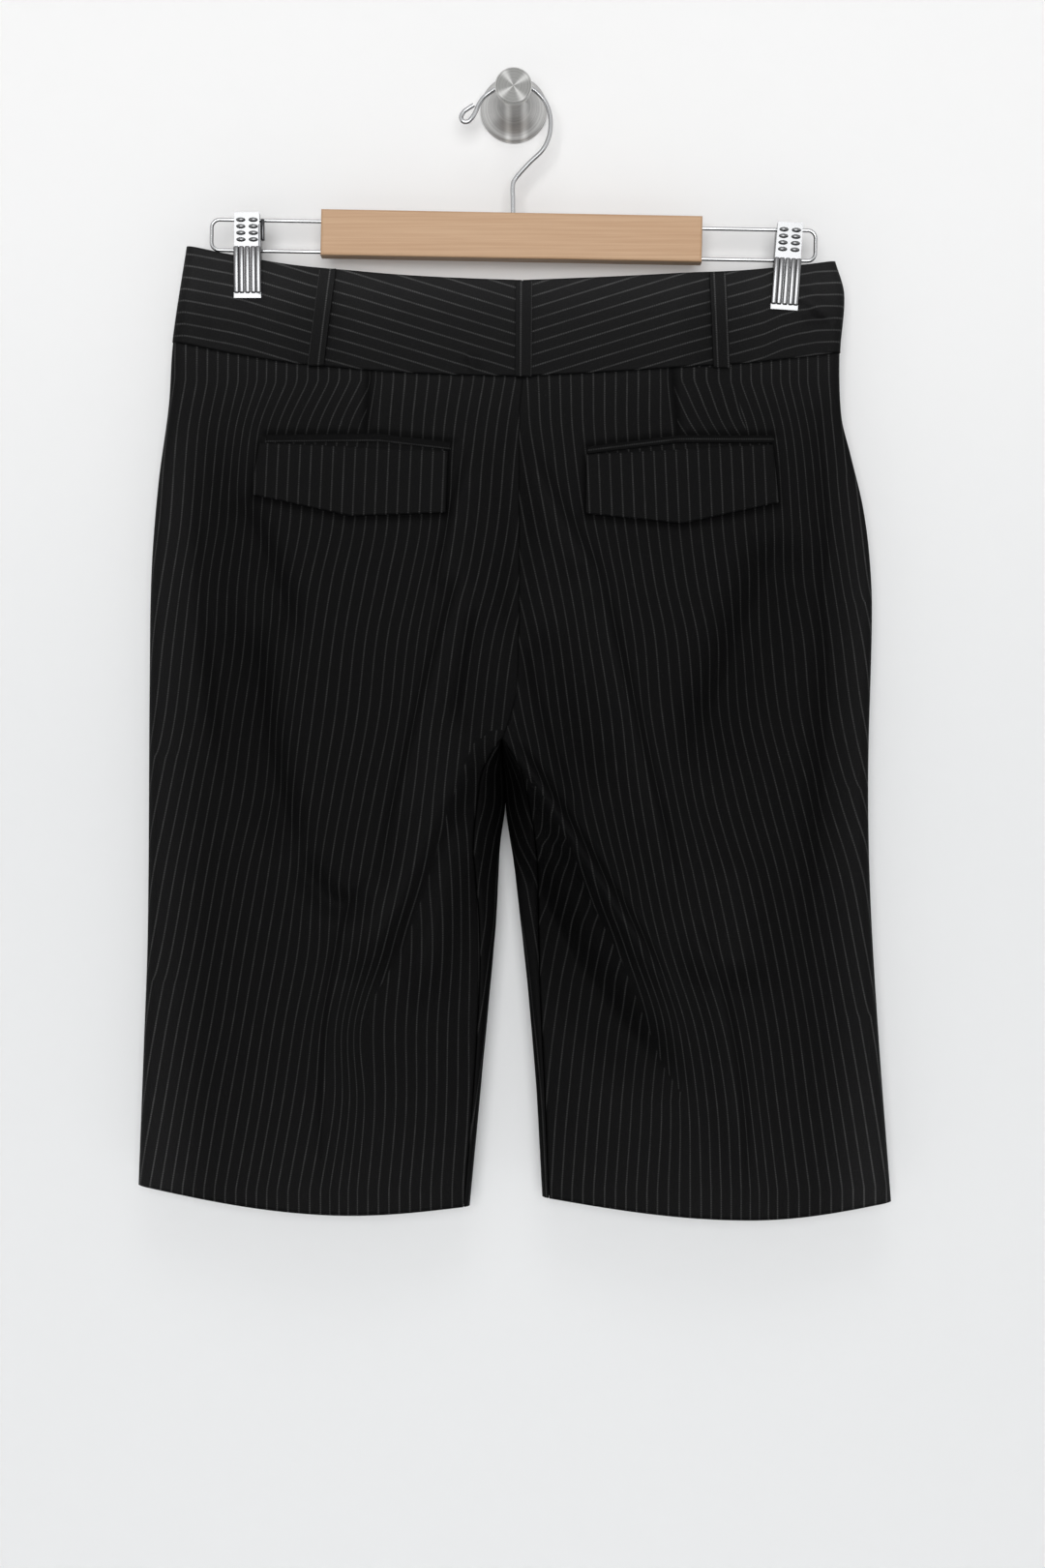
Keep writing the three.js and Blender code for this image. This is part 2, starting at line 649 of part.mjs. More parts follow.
function waistTab() {
  const placeAt = (u, v) => [
    lerp(TAB.right, TAB.left, u),
    lerp(TAB.top, TAB.bottom, v) - TAB.slant * u * (1 - v),
  ];
  return onLayer("waistband_tab", "right", "front", BAND, placeAt, 6, 3, () => ON_PANEL);
}

function waistButton() {
  const { radius, rim, well } = BUTTON;
  const half = BUTTON.depth / 2;
  const profile = [
    [0, -half],
    [radius - rim, -half],
    [radius, -half + rim],
    [radius, half - rim / 2],
    [radius - rim, half],
    [radius - 3 * rim, half - well],
    [0, half - well],
  ].map(([r, h]) => new THREE.Vector2(r, h));
  const mesh = named(new THREE.LatheGeometry(profile, 20), buttonFinish(), "waist_button");
  const under = layerAt("right", "front", BUTTON.x, BUTTON.z) + BAND / 2;
  const off = under + ON_PANEL + TRIM + 2 * SEAM + half;
  mesh.position.set(BUTTON.x, HANG_Y + off, BUTTON.z);
  return mesh;
}

// Hanger
function wirePath(side) {
  const sign = SIDES[side].sign;
  const barEnd = sign * (BAR.length / 2 - WIRE_IN_BAR);
  const reach = WIRE_REACH[side] - BAR.x;
  const half = WIRE_HEIGHT / 2;
  const corner = (along, down) => [reach - sign * along * WIRE_BEND, half - down * WIRE_BEND];
  const run = [
    [barEnd, half],
    [lerp(barEnd, reach, 0.5), half],
    corner(2.4, 0),
    corner(1, 0.015),
    corner(0.29, 0.29),
    corner(0, 1),
  ];
  const back = run.slice().reverse().map(([x, z]) => [x, -z]);
  return [...run, ...back].map(([x, z]) => new THREE.Vector3(x, 0, z - WIRE_DROP));
}

function hangerBar() {
  const { length, height, depth, ease } = BAR;
  const outline = new THREE.Shape();
  const [w, h] = [length / 2 - ease, height / 2 - ease];
  outline.moveTo(-w, -h).lineTo(w, -h).lineTo(w, h).lineTo(-w, h).closePath();
  const block = new THREE.ExtrudeGeometry(outline, {
    depth: depth - 2 * ease,
    bevelThickness: ease,
    bevelSize: ease,
    bevelSegments: 2,
  });
  block.rotateX(Math.PI / 2).translate(0, depth / 2 - ease, 0);
  let solid = solidOf(block);
  const wireBore = LOOP_WIRE + BORE_PLAY;
  for (const { sign } of Object.values(SIDES)) {
    for (const k of [-1, 1]) {
      const bore = new THREE.CylinderGeometry(wireBore, wireBore, 2 * WIRE_IN_BAR + 1, 10);
      const up = (k * WIRE_HEIGHT) / 2 - WIRE_DROP;
      bore.rotateZ(Math.PI / 2).translate((sign * length) / 2, 0, up);
      solid = solid.subtract(solidOf(bore));
    }
  }
  const lean = (height / 2) * Math.sin(THREE.MathUtils.degToRad(TILT));
  const hookBore = HOOK_WIRE + BORE_PLAY;
  const bore = new THREE.CylinderGeometry(hookBore, hookBore, HOOK_BORE, 12);
  bore.rotateX(Math.PI / 2).translate(HOOK_PATH[0][0] - BAR.x + lean, 0, height / 2 + HOOK_BORE_UP);
  return named(geometryOf(solid.subtract(solidOf(bore))), woodFinish(), "hanger_bar");
}

function hangerFrame() {
  const frame = new THREE.Group();
  frame.position.set(BAR.x, HANG_Y, BAR.z);
  frame.rotation.y = -THREE.MathUtils.degToRad(TILT);
  frame.add(hangerBar());
  for (const side of Object.keys(SIDES)) {
    const wire = wireGeometry(wirePath(side), LOOP_WIRE, 34, 4);
    frame.add(named(wire, chromeFinish(), `hanger_wire_${side}`));
  }
  return frame;
}

function hangerHook() {
  const path = HOOK_PATH.map(([x, z]) => new THREE.Vector3(x, HANG_Y, z));
  return named(wireGeometry(path, HOOK_WIRE, 52, 4), chromeFinish(), "hanger_hook");
}

// A wedge of a clip's leaf with its jaw at z = 0, from the channel's open side to its face. An inset
// one is the hollow, which runs out at both ends.
function leafBlock(height, inset) {
  const block = new THREE.BoxGeometry(1, 1, height, 1, 1, 6);
  const position = block.attributes.position;
  for (let i = 0; i < position.count; i++) {
    const share = position.getZ(i) / height + 0.5;
    const up = share * height;
    const width = lerp(CLIP.jawWidth, CLIP.topWidth, share) - 2 * inset;
    const face = lerp(CLIP.jawOff, CLIP.thumbOff, share) - inset;
    const opening = lerp(CLOTH_HALF, CLIP.wireClear, smooth((up - CLIP.jawLength) / CLIP.jawEnd));
    position.setX(i, position.getX(i) * width);
    position.setY(i, lerp(inset ? 0 : opening, face, position.getY(i) + 0.5));
    position.setZ(i, up + (inset ? lerp(-2, 2, share) : 0));
  }
  return solidOf(block);
}

function clipLeaf(side, name, layer, shorter) {
  const { clip } = SIDES[side];
  const height = clip.top - clip.bottom - shorter;
  const geometry = geometryOf(leafBlock(height, 0).subtract(leafBlock(height, CLIP.sheet)));
  if (layer === "back") geometry.rotateZ(Math.PI);
  return named(geometry, chromeFinish(), `clip_${side}_${name}`);
}

function clips() {
  return Object.keys(SIDES).map((side) => {
    const { clip } = SIDES[side];
    const group = new THREE.Group();
    group.position.set(clip.x, HANG_Y, clip.bottom);
    group.rotation.y = THREE.MathUtils.degToRad(clip.lean);
    group.add(clipLeaf(side, "front_leaf", "back", 0));
    group.add(clipLeaf(side, "rear_leaf", "front", CLIP.rearShorter));
    return group;
  });
}

function wallKnob() {
  const profile = [
    new THREE.Vector2(0, 0),
    ...KNOB_PROFILE.map(({ radius, depth }) => new THREE.Vector2(radius, depth)),
    new THREE.Vector2(0, KNOB_PROFILE.at(-1).depth),
  ];
  const mesh = named(new THREE.LatheGeometry(profile, 24), steelFinish(), "wall_knob");
  mesh.rotation.x = Math.PI;
  return mesh;
}

const shorts = new THREE.Group();
shorts.add(
  ...quarters(panel),
  ...quarters(waistband),
  ...FLAPS.map(pocketFlap),
  ...WELTS.map(pocketWelt),
  ...LOOPS.map(beltLoop),
  waistTab(),
  waistButton(),
);

const hanger = new THREE.Group();
hanger.add(hangerFrame(), hangerHook(), ...clips(), wallKnob());

const part = new THREE.Group();
part.add(shorts, hanger);

export default part;
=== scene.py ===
"""Bermuda shorts of pinstriped suiting on a clip hanger: the looks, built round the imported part."""

import json
import math

import bpy
import numpy as np
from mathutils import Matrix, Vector

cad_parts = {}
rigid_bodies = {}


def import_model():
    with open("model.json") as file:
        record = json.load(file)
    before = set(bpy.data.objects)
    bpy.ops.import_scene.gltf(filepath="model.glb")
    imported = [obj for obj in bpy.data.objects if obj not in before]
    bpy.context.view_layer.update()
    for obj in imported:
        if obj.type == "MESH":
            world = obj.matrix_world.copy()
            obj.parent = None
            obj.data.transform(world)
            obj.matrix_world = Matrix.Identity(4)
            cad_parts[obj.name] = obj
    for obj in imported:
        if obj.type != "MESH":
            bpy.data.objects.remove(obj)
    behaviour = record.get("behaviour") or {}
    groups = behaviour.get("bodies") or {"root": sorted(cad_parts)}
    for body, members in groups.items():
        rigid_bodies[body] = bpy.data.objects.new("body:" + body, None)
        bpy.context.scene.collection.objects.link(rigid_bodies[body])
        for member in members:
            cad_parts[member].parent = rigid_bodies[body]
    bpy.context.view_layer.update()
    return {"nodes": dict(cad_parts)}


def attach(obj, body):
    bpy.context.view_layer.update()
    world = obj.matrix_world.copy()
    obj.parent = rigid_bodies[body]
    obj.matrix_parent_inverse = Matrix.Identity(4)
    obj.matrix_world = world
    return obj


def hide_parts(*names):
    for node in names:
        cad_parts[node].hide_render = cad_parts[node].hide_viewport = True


bl_info = {
    "name": "Hanging Pinstripe Shorts",
    "version": (1, 0, 0),
    "blender": (4, 5, 0),
    "location": "View3D > Sidebar > Shorts",
    "description": "Dresses a packed pair of shorts on a clip hanger in cloth, wood, chrome and steel",
    "category": "Object",
}

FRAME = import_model()

MM = 0.001

# Driving sizes, in millimetres
HANG_Y = -30.0  # the plane of the hook, the bar and the side seams
PANEL = 1.3  # wall of a panel
BAND = 2.2  # wall of the waistband
TRIM = 1.2  # wall of a flap, a welt or a belt loop
SEAM = 0.3  # gap between two pieces where they are sewn
SEWN = 0.08  # the same at the centre seam of the panels, which is pressed flat
ON_PANEL = 0.6  # gap between a panel and what lies on it
EDGE_ROUND = 6.0  # how far in from a side seam the cloth turns
EDGE_SHARE = 0.14  # share of a row's columns that turn round the side seam
CROTCH_Z = -376.0
CROTCH_ROW = 0.47  # share of a panel's rows above the crotch
FORK_ROW = 0.4  # share of the front's rows above the start of its crotch curve
FORK_ROLL = 0.4
INSEAM_SHARE = 0.8  # how far round the rolled inner edge the back panel reaches
COMES_OUT = 0.05  # share of the rows over which the front comes out from under the back
LAYER_PLAY = 0.2
LEAST_OFF = 2.2  # the nearest that a layer comes to the hanging plane
PITCH = 6.4  # from one pinstripe to the next

# The outline from the front: x of each edge at named heights
LEFT_SIDE = {
    "z": [-88, -144, -181, -226, -277, -339, -486, -553, -634],
    "x": [-189.4, -197.8, -200.3, -206.3, -210.3, -211.4, -212.5, -214.8, -217.9],
}
RIGHT_SIDE = {
    "z": [-97, -116, -150, -187, -209, -238, -266, -300, -395, -463, -542, -644],
    "x": [186.4, 191.6, 189.3, 190.4, 195.6, 202.6, 206.5, 208.2, 206, 207.1, 211.6, 219.3],
}
LEFT_INNER = {
    "z": [-376, -392, -412, -436, -456, -481, -514, -577, -647],
    "x": [-7.5, -6.5, -5.4, -8.4, -9.5, -10.8, -13.7, -19.6, -26.2],
    "roll": [1, 14, 20, 19, 16, 12, 8, 5, 4],
}
RIGHT_INNER = {
    "z": [-376, -392, -419, -446, -471, -515, -577, -641],
    "x": [-6.25, -5.2, -3.6, 0.6, 3.5, 8.4, 13.7, 17.3],
    "roll": [1, 12, 18, 17, 14, 9, 6, 4.5],
}
CENTRE_SEAM = {"z": [-110, -166, -190, -340, -362, -376], "x": [5.2, 5.2, 3.4, 2.6, -1.5, -6.9]}
# The outline from the side: how far the cloth stands off the hanging plane
DEPTHS = {
    "z": [-88, -145, -230, -330, -395, -460, -550, -650],
    "edge": [3.4, 4, 4.6, 5, 5, 5, 4.6, 4.2],
    "back": [6, 9, 15, 18, 16, 14, 13, 13],
    "front": [3, 5, 8, 11, 11, 10, 9, 9],
    "spread": [1, 1, 1, 1, 0.72, 0.4, 0.1, 0],
}
SIDES = {
    "left": {
        "sign": -1,
        "edge": LEFT_SIDE,
        "inner": LEFT_INNER,
        "band_top": -88.3,
        "seam": -144.0,
        "hem": -634.3,
        "hem_inner": -646.4,
        "band_sag": 4.9,
        "seam_sag": 5.7,
        "hem_sag": 8.0,
        "crease_share": 0.56,
        "clip": {"x": -154.6, "top": -70.0, "bottom": -118.7, "lean": 0.0},
    },
    "right": {
        "sign": 1,
        "edge": RIGHT_SIDE,
        "inner": RIGHT_INNER,
        "band_top": -97.1,
        "seam": -150.0,
        "hem": -644.0,
        "hem_inner": -641.1,
        "band_sag": 1.8,
        "seam_sag": 2.0,
        "hem_sag": 9.5,
        "crease_share": 0.42,
        "clip": {"x": 157.2, "top": -75.7, "bottom": -125.5, "lean": 3.8},
    },
}
CENTRE = {"back": {"band_top": -110.0, "seam": -166.0}, "front": {"band_top": -124.0, "seam": -180.0}}
LAYER_SIGN = {"back": -1, "front": 1}
PINCH = {"flat": 14.0, "outward": 24.0, "inward": 50.0, "down": 95.0, "above_jaw": 4.0}

# Creases and folds: layer, start, middle, end, rise, and how wide it is to its left and its right
FOLDS = [
    # The left leg of the back
    ("back", (-178, -181), (-175, -295), (-160, -423), -5, 9, 20),  # side seam hollow
    ("back", (-165, -230), (-143, -273), (-127, -323), -5.5, 20, 8),  # under the flap's corner
    ("back", (-151, -295), (-144, -373), (-121, -454), -6.5, 22, 9),  # thigh hollow
    ("back", (-125, -435), (-106, -468), (-77, -465), -4, 8, 8),  # its hook to the crease
    ("back", (-20, -262), (-48, -348), (-77, -465), 6, 4.5, 20),  # pressed crease
    ("back", (-76, -451), (-102, -513), (-108, -649), 3.4, 3.2, 16),  # crease to the hem
    ("back", (-20, -199), (-34, -253), (-44, -295), 4, 4.2, 14),  # beside the flap
    ("back", (-15, -359), (-55, -443), (-93, -520), 9, 15, 11),  # ridge from the crotch
    ("back", (-24, -417), (-42, -468), (-59, -535), 5, 9, 15),  # knee
    ("back", (-20, -295), (-25, -334), (-32, -373), -3, 5, 12),  # beside the centre seam
    # The centre seam
    ("back", (3, -173), (2, -251), (0, -345), -3, 10, 10),  # seat
    # The right leg of the back
    ("back", (1, -195), (26, -248), (54, -291), 5.5, 14, 5.5),  # seat ridge
    ("back", (46, -277), (66, -357), (100, -488), 5, 18, 4.2),  # pressed crease
    ("back", (97, -474), (122, -539), (131, -649), 4.6, 12, 4.2),  # crease to the hem
    ("back", (163, -251), (133, -317), (101, -404), -8.5, 14, 32),  # thigh hollow
    ("back", (178, -167), (186, -284), (172, -524), -5.5, 8, 18),  # side seam hollow
    ("back", (9, -306), (22, -362), (47, -423), -4.5, 7, 16),  # beside the centre seam
    ("back", (-4, -374), (33, -430), (98, -535), 10, 8.5, 4.5),  # ridge from the crotch
    ("back", (5, -433), (34, -501), (107, -592), -10, 26, 13),  # hollow from the crotch
    ("back", (121, -435), (131, -479), (128, -524), 5, 26, 20),  # knee
    # What the clip crumples at the band's end, and a pinch by the centre
    ("band", (160, -115), (174, -122), (190, -137), 2.0, 3, 5),
    ("band", (166, -128), (178, -131), (190, -128), -1.3, 3, 3),
    ("band", (-28, -153), (-24, -159), (-21, -166), -1.6, 2.5, 4),
    # The front, which hangs more quietly
    ("front", (4, -184), (2, -260), (0, -335), -2, 12, 12),
    ("front", (-92, -200), (-98, -400), (-110, -660), 4, 5, 9),
    ("front", (100, -205), (110, -400), (131, -660), 4, 9, 5),
    ("front", (-6, -352), (-60, -392), (-128, -400), -5, 10, 10),
    ("front", (-10, -372), (-58, -432), (-104, -520), -4, 10, 12),
    ("front", (-4, -356), (52, -402), (120, -420), -5, 10, 10),
    ("front", (4, -376), (48, -440), (110, -540), -4, 12, 10),
    ("front", (-150, -200), (-158, -320), (-150, -440), -4, 11, 13),
    ("front", (152, -210), (158, -330), (150, -450), -4, 13, 11),
]
FOLD_STEPS = 14
FOLD_TAPER = 0.25

# Where the cloth's grain runs on each back panel: the x of every fourth stripe at named heights
GRAIN_STEP = 4
GRAIN = {
    "left": [
        (-168, -184, -160, -138, -113, -90, -76, -49, -23, 1, 26),
        (-198, -189, -166, -148, -126, -101, -78, -52, -28, -4, 21),
        (-251, -193, -172, -151, -129, -104, -79, -53, -33, -9, 15),
        (-284, -198, -177, -154, -134, -111, -85, -59, -38, -15, 9),
        (-317, -203, -179, -156, -136, -116, -91, -66, -44, -23, 0),
        (-362, -208, -184, -163, -140, -122, -96, -71, -52, -29, -6),
        (-407, -216, -193, -169, -144, -127, -104, -80, -57, -34, -10),
        (-451, -226, -202, -177, -153, -129, -111, -88, -64, -40, -15),
        (-496, -234, -210, -185, -161, -136, -112, -93, -75, -54, -30),
        (-540, -242, -218, -194, -168, -144, -120, -102, -88, -64, -40),
        (-585, -251, -226, -202, -177, -151, -127, -103, -86, -62, -39),
        (-635, -260, -236, -211, -185, -160, -136, -111, -90, -66, -42),
    ],
    "right": [
        (-168, -68, -43, -18, 8, 33, 59, 85, 101, 126, 150, 171, 194),
        (-198, -67, -42, -17, 10, 34, 59, 85, 112, 136, 157, 176, 196),
        (-251, -56, -31, -7, 19, 41, 64, 89, 114, 140, 161, 181, 202),
        (-284, -49, -24, 1, 26, 49, 69, 93, 118, 142, 163, 186, 206),
        (-317, -39, -15, 9, 32, 54, 75, 100, 123, 143, 168, 191, 213),
        (-362, -28, -5, 16, 38, 62, 79, 104, 125, 148, 172, 197, 220),
        (-407, -12, 8, 25, 44, 67, 88, 109, 134, 159, 182, 207, 231),
        (-451, 0, 17, 35, 55, 75, 97, 121, 146, 170, 195, 220, 244),
        (-496, 14, 32, 51, 69, 85, 107, 131, 156, 179, 204, 228, 253),
        (-540, 22, 44, 65, 83, 99, 120, 140, 164, 187, 212, 237, 262),
        (-585, 13, 38, 62.5, 85.5, 106, 128, 146, 170, 195, 220, 245, 270),
        (-635, 10, 34, 59, 83, 108, 131, 152, 177, 203, 228, 253, 278),
    ],
}

# The same beside the darts and below the ridges, where the folded cloth shows another stretch
TURNED_GRAIN = {
    "left": [
        (-168, -184, -160, -138, -113, -88, -62, -36, -10, 16, 42, 68),
        (-198, -189, -166, -148, -126, -101, -78, -52, -28, -4, 21, 46),
        (-251, -193, -172, -151, -129, -104, -79, -53, -33, -9, 15, 40),
        (-362, -265, -240, -216, -192, -168, -144, -118, -92, -65, -39, -14),
        (-407, -265, -240, -216, -192, -168, -144, -116, -90, -64, -39.5, -15.6),
        (-451, -258, -232, -208, -184, -160, -136, -110, -85, -60.5, -36, -16),
        (-496, -256, -232, -208, -184, -159, -134, -108, -83, -58.5, -35.4, -15),
        (-540, -242, -218, -194, -168, -144, -120, -102, -87, -62, -38, -14),
        (-585, -251, -226, -202, -177, -151, -127, -103, -86, -62, -39, -13.4),
        (-635, -260, -236, -211, -185, -160, -136, -111, -90, -66, -42, -16.4),
    ],
    "right": [
        (-168, -68, -43, -18, 8, 33, 53, 72, 97, 126, 150, 171, 194),
        (-198, -67, -42, -17, 10, 34, 59, 85, 112, 136, 157, 176, 196),
        (-251, -20, 5, 30, 55, 80, 105, 130, 155, 180, 205, 230, 255),
        (-317, 35, 61, 86, 112, 137, 163, 188, 214, 240, 265, 290, 315),
        (-362, 54, 80, 105, 131, 156, 182, 207, 233, 258, 284, 309, 334),
        (-407, 46, 71.8, 97.4, 123, 148, 174, 200, 225, 251, 276, 302, 328),
        (-451, 35.3, 60.9, 86.5, 112, 138, 163, 189, 214, 240, 266, 291, 317),
        (-496, 24.7, 50.3, 75.9, 101, 127, 152, 178, 204, 229, 255, 280, 306),
        (-540, 17.5, 43, 68, 91, 113, 134, 156, 178, 200, 224, 248, 272),
        (-585, 13, 38, 62.5, 85.5, 106, 128, 146, 170, 195, 220, 245, 270),
        (-635, 10, 34, 59, 83, 108, 131, 152, 177, 203, 228, 253, 278),
    ],
}
TURNED = {  # outlines, x and z, of the places that take the turned grain
    "left": [
        [(-83, -160), (-85.7, -202), (-126, -202), (-113, -160)],
        [
            (-12, -370),
            (-23.2, -378),
            (-29.1, -393),
            (-35.5, -410.3),
            (-40.9, -425.3),
            (-44.1, -440.3),
            (-49.4, -455.3),
            (-56, -476),
            (-62.5, -491),
            (-73, -511),
            (-84, -530),
            (-84, -584),
            (30, -584),
            (30, -370),
        ],
    ],
    "right": [
        [(91.6, -160), (95.5, -202), (136, -202), (126, -160)],
        [
            (-40, -376),
            (-7.9, -382),
            (-1.5, -385),
            (3.9, -394),
            (13.6, -402.8),
            (20, -411.5),
            (28.6, -428.4),
            (35, -441),
            (43.5, -465),
            (52, -482),
            (62.9, -503.7),
            (71.4, -525),
            (86.5, -563.6),
            (100, -584),
            (-40, -584),
        ],
    ],
}
FRONT_CREASE = {"z": (200, 640), "left": (-92, -110), "right": (100, 131)}

# The band's stripes: how one of them runs on each side, and how far apart they are upright
BAND_STRIPE = {
    "left": {
        "x": [-191, -167, -156, -132, -117, -103, -31, 6],
        "z": [-120.3, -124.3, -126.9, -134.2, -139.3, -143.3, -166.0, -177.6],
    },
    "right": {
        "x": [5, 12.2, 111.1, 145.6, 156.2, 165.5, 176.1, 188],
        "z": [-169.4, -167.1, -135.9, -125.8, -121.3, -118.7, -116.9, -116.7],
    },
}
BAND_STRIPE_PITCH = 6.85

# Painted light and shade down the cloth's height: lighter near the top and at the hem
PAINTED_LIGHTNESS = {
    "z": [-88, -112, -130, -150, -185, -220, -260, -340, -420, -500, -560, -600, -650],
    "share": [2.35, 2.1, 1.5, 1.28, 0.97, 0.85, 0.8, 0.74, 0.73, 0.77, 0.83, 0.95, 1.15],
}
# Painted light: the cloth is lighter near its side edges, below the band
PAINTED_SIDE_LIGHT = {"from": 172.0, "to": 212.0, "gain": 0.75, "below": -150.0, "full": -230.0}
FOLD_PAINTED_LIGHT_SHADE = 0.02  # painted light and shade: how much each millimetre of rise lightens the cloth, so ridges are lighter and hollows darker
# Painted shade in the hollow under the crotch, strongest on the front
CROTCH_PAINTED_SHADE = {"x": -2.0, "z": -404.0, "wide": 24.0, "high": 34.0, "loss": {"back": 0.15, "front": 0.6}}
# Painted shade on the inner legs below the crotch
LEG_PAINTED_SHADE = {"x": 18.0, "z": -455.0, "wide": 42.0, "high": 60.0, "loss": {"back": 0.25, "front": 0.25}}
EDGE_PAINTED_SHADE = {"reach": 2.6, "loss": 0.5}  # painted shade along what lies on a panel and along its dart

FLAPS = {
    "left": {
        "top_outer": (-147, -204),
        "top_inner": (-37.7, -210),
        "bottom_outer": (-150.7, -234),
        "tip": (-94, -247),
        "bottom_inner": (-39, -245.5),
    },
    "right": {
        "top_outer": (149.9, -205),
        "top_inner": (42, -212),
        "bottom_outer": (153, -238.6),
        "tip": (97, -251.4),
        "bottom_inner": (41.5, -246),
    },
}
FLAP_SPRING = 1.2
FLAP_LEAN = math.radians(2.2)  # how far its stripes lean out to the side
# Painted light: the flaps are made lighter than the panel
FLAP_PAINTED_LIGHT = 0.08
# Painted shade: the welts are made darker than the panel
WELT_PAINTED_SHADE = -0.2
WELTS = {
    "left": {"outer": (-143, -199.4), "middle": (-78, -199.6), "inner": (-36, -204.8), "line": -0.6},
    "right": {"outer": (150.5, -199.6), "middle": (95, -200.4), "inner": (42.5, -207.4), "line": 0.5},
}
WELT_HEIGHT = 4.2
LOOPS = [  # name, layer, side, middle of its top, middle of its bottom, place of a stripe across it
    ("belt_loop_back_left", "back", "left", (-107.6, -102.9), (-114.5, -159), 0.66),
    ("belt_loop_back_centre", "back", "right", (6, -110.9), (5.6, -166.5), 0.33),
    ("belt_loop_back_right", "back", "right", (118.4, -104.4), (120.6, -160), 0.25),
    ("belt_loop_front_left", "front", "left", (-82, -111.5), (-86, -170), 0.4),
    ("belt_loop_front_right", "front", "right", (88, -114.5), (91, -171.5), 0.4),
]
LOOP_WIDTH = 9.5
TRIM_GRID = {"flap": (110, 34), "welt": (110, 6), "loop": (14, 50), "tab": (30, 30)}
LOOP_SLACK = 1.2
TAB = {"right": 26, "left": -16, "top": -129, "bottom": -172, "slant": 1.2}

BAR = {"x": -1.2, "z": -82.6, "length": 221.5, "height": 26.6, "depth": 12.0}
TILT = math.radians(-1.05)
HOOK_WIRE = 1.3
HOOK_STEPS = 7  # places along the hook for each of its points
WIRE_SIDES = 20
WIRE = {"radius": 1.1, "reach": 176.0, "height": 17.8, "drop": 1.7, "in_bar": 12.0, "bend": 4.6}
HOOK_PATH = [  # x and z, from the bar up over the knob's neck to the eye at its end
    (-0.4, -78),
    (-0.4, -62),
    (-0.5, -53),
    (1.2, -48.2),
    (9, -39.4),
    (16.6, -32),
    (20.4, -24.6),
    (21.6, -16.6),
    (20.6, -8.8),
    (17, -1.6),
    (9.6, 4.6),
    (0.3, 6.4),
    (-6.5, 5.6),
    (-12, 3),
    (-17, -0.6),
    (-20, -4.6),
    (-21.6, -8.2),
    (-23.6, -12),
    (-26.4, -15),
    (-29.4, -15),
    (-30.6, -12.4),
    (-29, -9.4),
    (-26, -7.2),
    (-23.2, -5.4),
]
KNOB_SIDES = 72
KNOB_STEPS = 4
KNOB_NECK = (2, 9)  # the rows of the profile that lie on one smooth curve
KNOB_PROFILE = [  # radius, and how far out from the wall
    (19.8, 0),
    (19.8, 2.6),
    (18.9, 3.4),
    (14.6, 6),
    (9.6, 11.5),
    (6.3, 19),
    (4.7, 27),
    (4.6, 33),
    (5.4, 40),
    (7.2, 43.5),
    (10.6, 45.4),
    (10.7, 49.2),
    (9.9, 50),
]
CHROME = (0.28, 0.283, 0.288)
CLIP_CHROME = (0.10, 0.101, 0.103)
CLIP_FACE = {"jaw": 4.7, "thumb": 9.0}  # how far a clip's face stands off the hanging plane
# What is pressed out of a clip: x across its face, y in from it, and z up from its jaw
CLIP_RIBS = {
    "places": [-6.3, -3.3, 0.1, 3.5, 6.4],
    "y": 0.45,
    "width": 3.2,
    "depth": 2.6,
    "foot": 2.6,
    "length": 27.0,
    "round": 1.0,
}
CLIP_BUMPS = {
    "columns": [-3.5, 3.7],
    "rows": 4,
    "y": 0.1,
    "below_top": 4.1,
    "pitch": 3.75,
    "size": (2.7, 1.0, 1.25),
}
CLIP_PAINTED_SHADE = (0.55, 0.1)  # painted shade on the pressed metal: how far out it stays bright, and where it is darkest
CLIP_FLANGE = {"x": 7.3, "y": 0.3, "width": 1.3, "depth": 1.0, "foot": 2.0, "length": 40.0}
CLIP_EAR = {
    "x": 8.9,
    "y": 4.4,
    "width": 2.0,
    "depth": 4.4,
    "height": 12.3,
    "below_top": 9.4,
    "round": 0.6,
    # how much of the painted shade the ear takes
    "hollow": 0.7,
}
CAMERA = {"place": (0.00519, -1.4, -0.4011), "lens": 53.98, "sensor": 36}


# Small sums
def lerp(a, b, t):
    return a + (b - a) * t


def smooth(t):
    c = np.clip(t, 0, 1)
    return c * c * (3 - 2 * c)


def round_off(t):
    return np.sqrt(np.maximum(0, 1 - (1 - np.clip(t, 0, 1)) ** 2))


def column_at(table, z, column):
    """A column of a table at heights z, on a smooth curve through its rows."""
    heights = np.array(table["z"], float)
    values = np.array(table[column], float)
    last = len(heights) - 1
    z = np.clip(z, heights[last], heights[0])
    i = np.clip(np.searchsorted(-heights, -z) - 1, 0, last - 1)
    k = np.arange(last + 1)
    before, after = np.maximum(k - 1, 0), np.minimum(k + 1, last)
    slope = (values[after] - values[before]) / (heights[after] - heights[before])
    span = heights[i + 1] - heights[i]
    t = (z - heights[i]) / span
    return (
        values[i] * (2 * t**3 - 3 * t**2 + 1)
        + slope[i] * span * (t**3 - 2 * t**2 + t)
        + values[i + 1] * (3 * t**2 - 2 * t**3)
        + slope[i + 1] * span * (t**3 - t**2)
    )


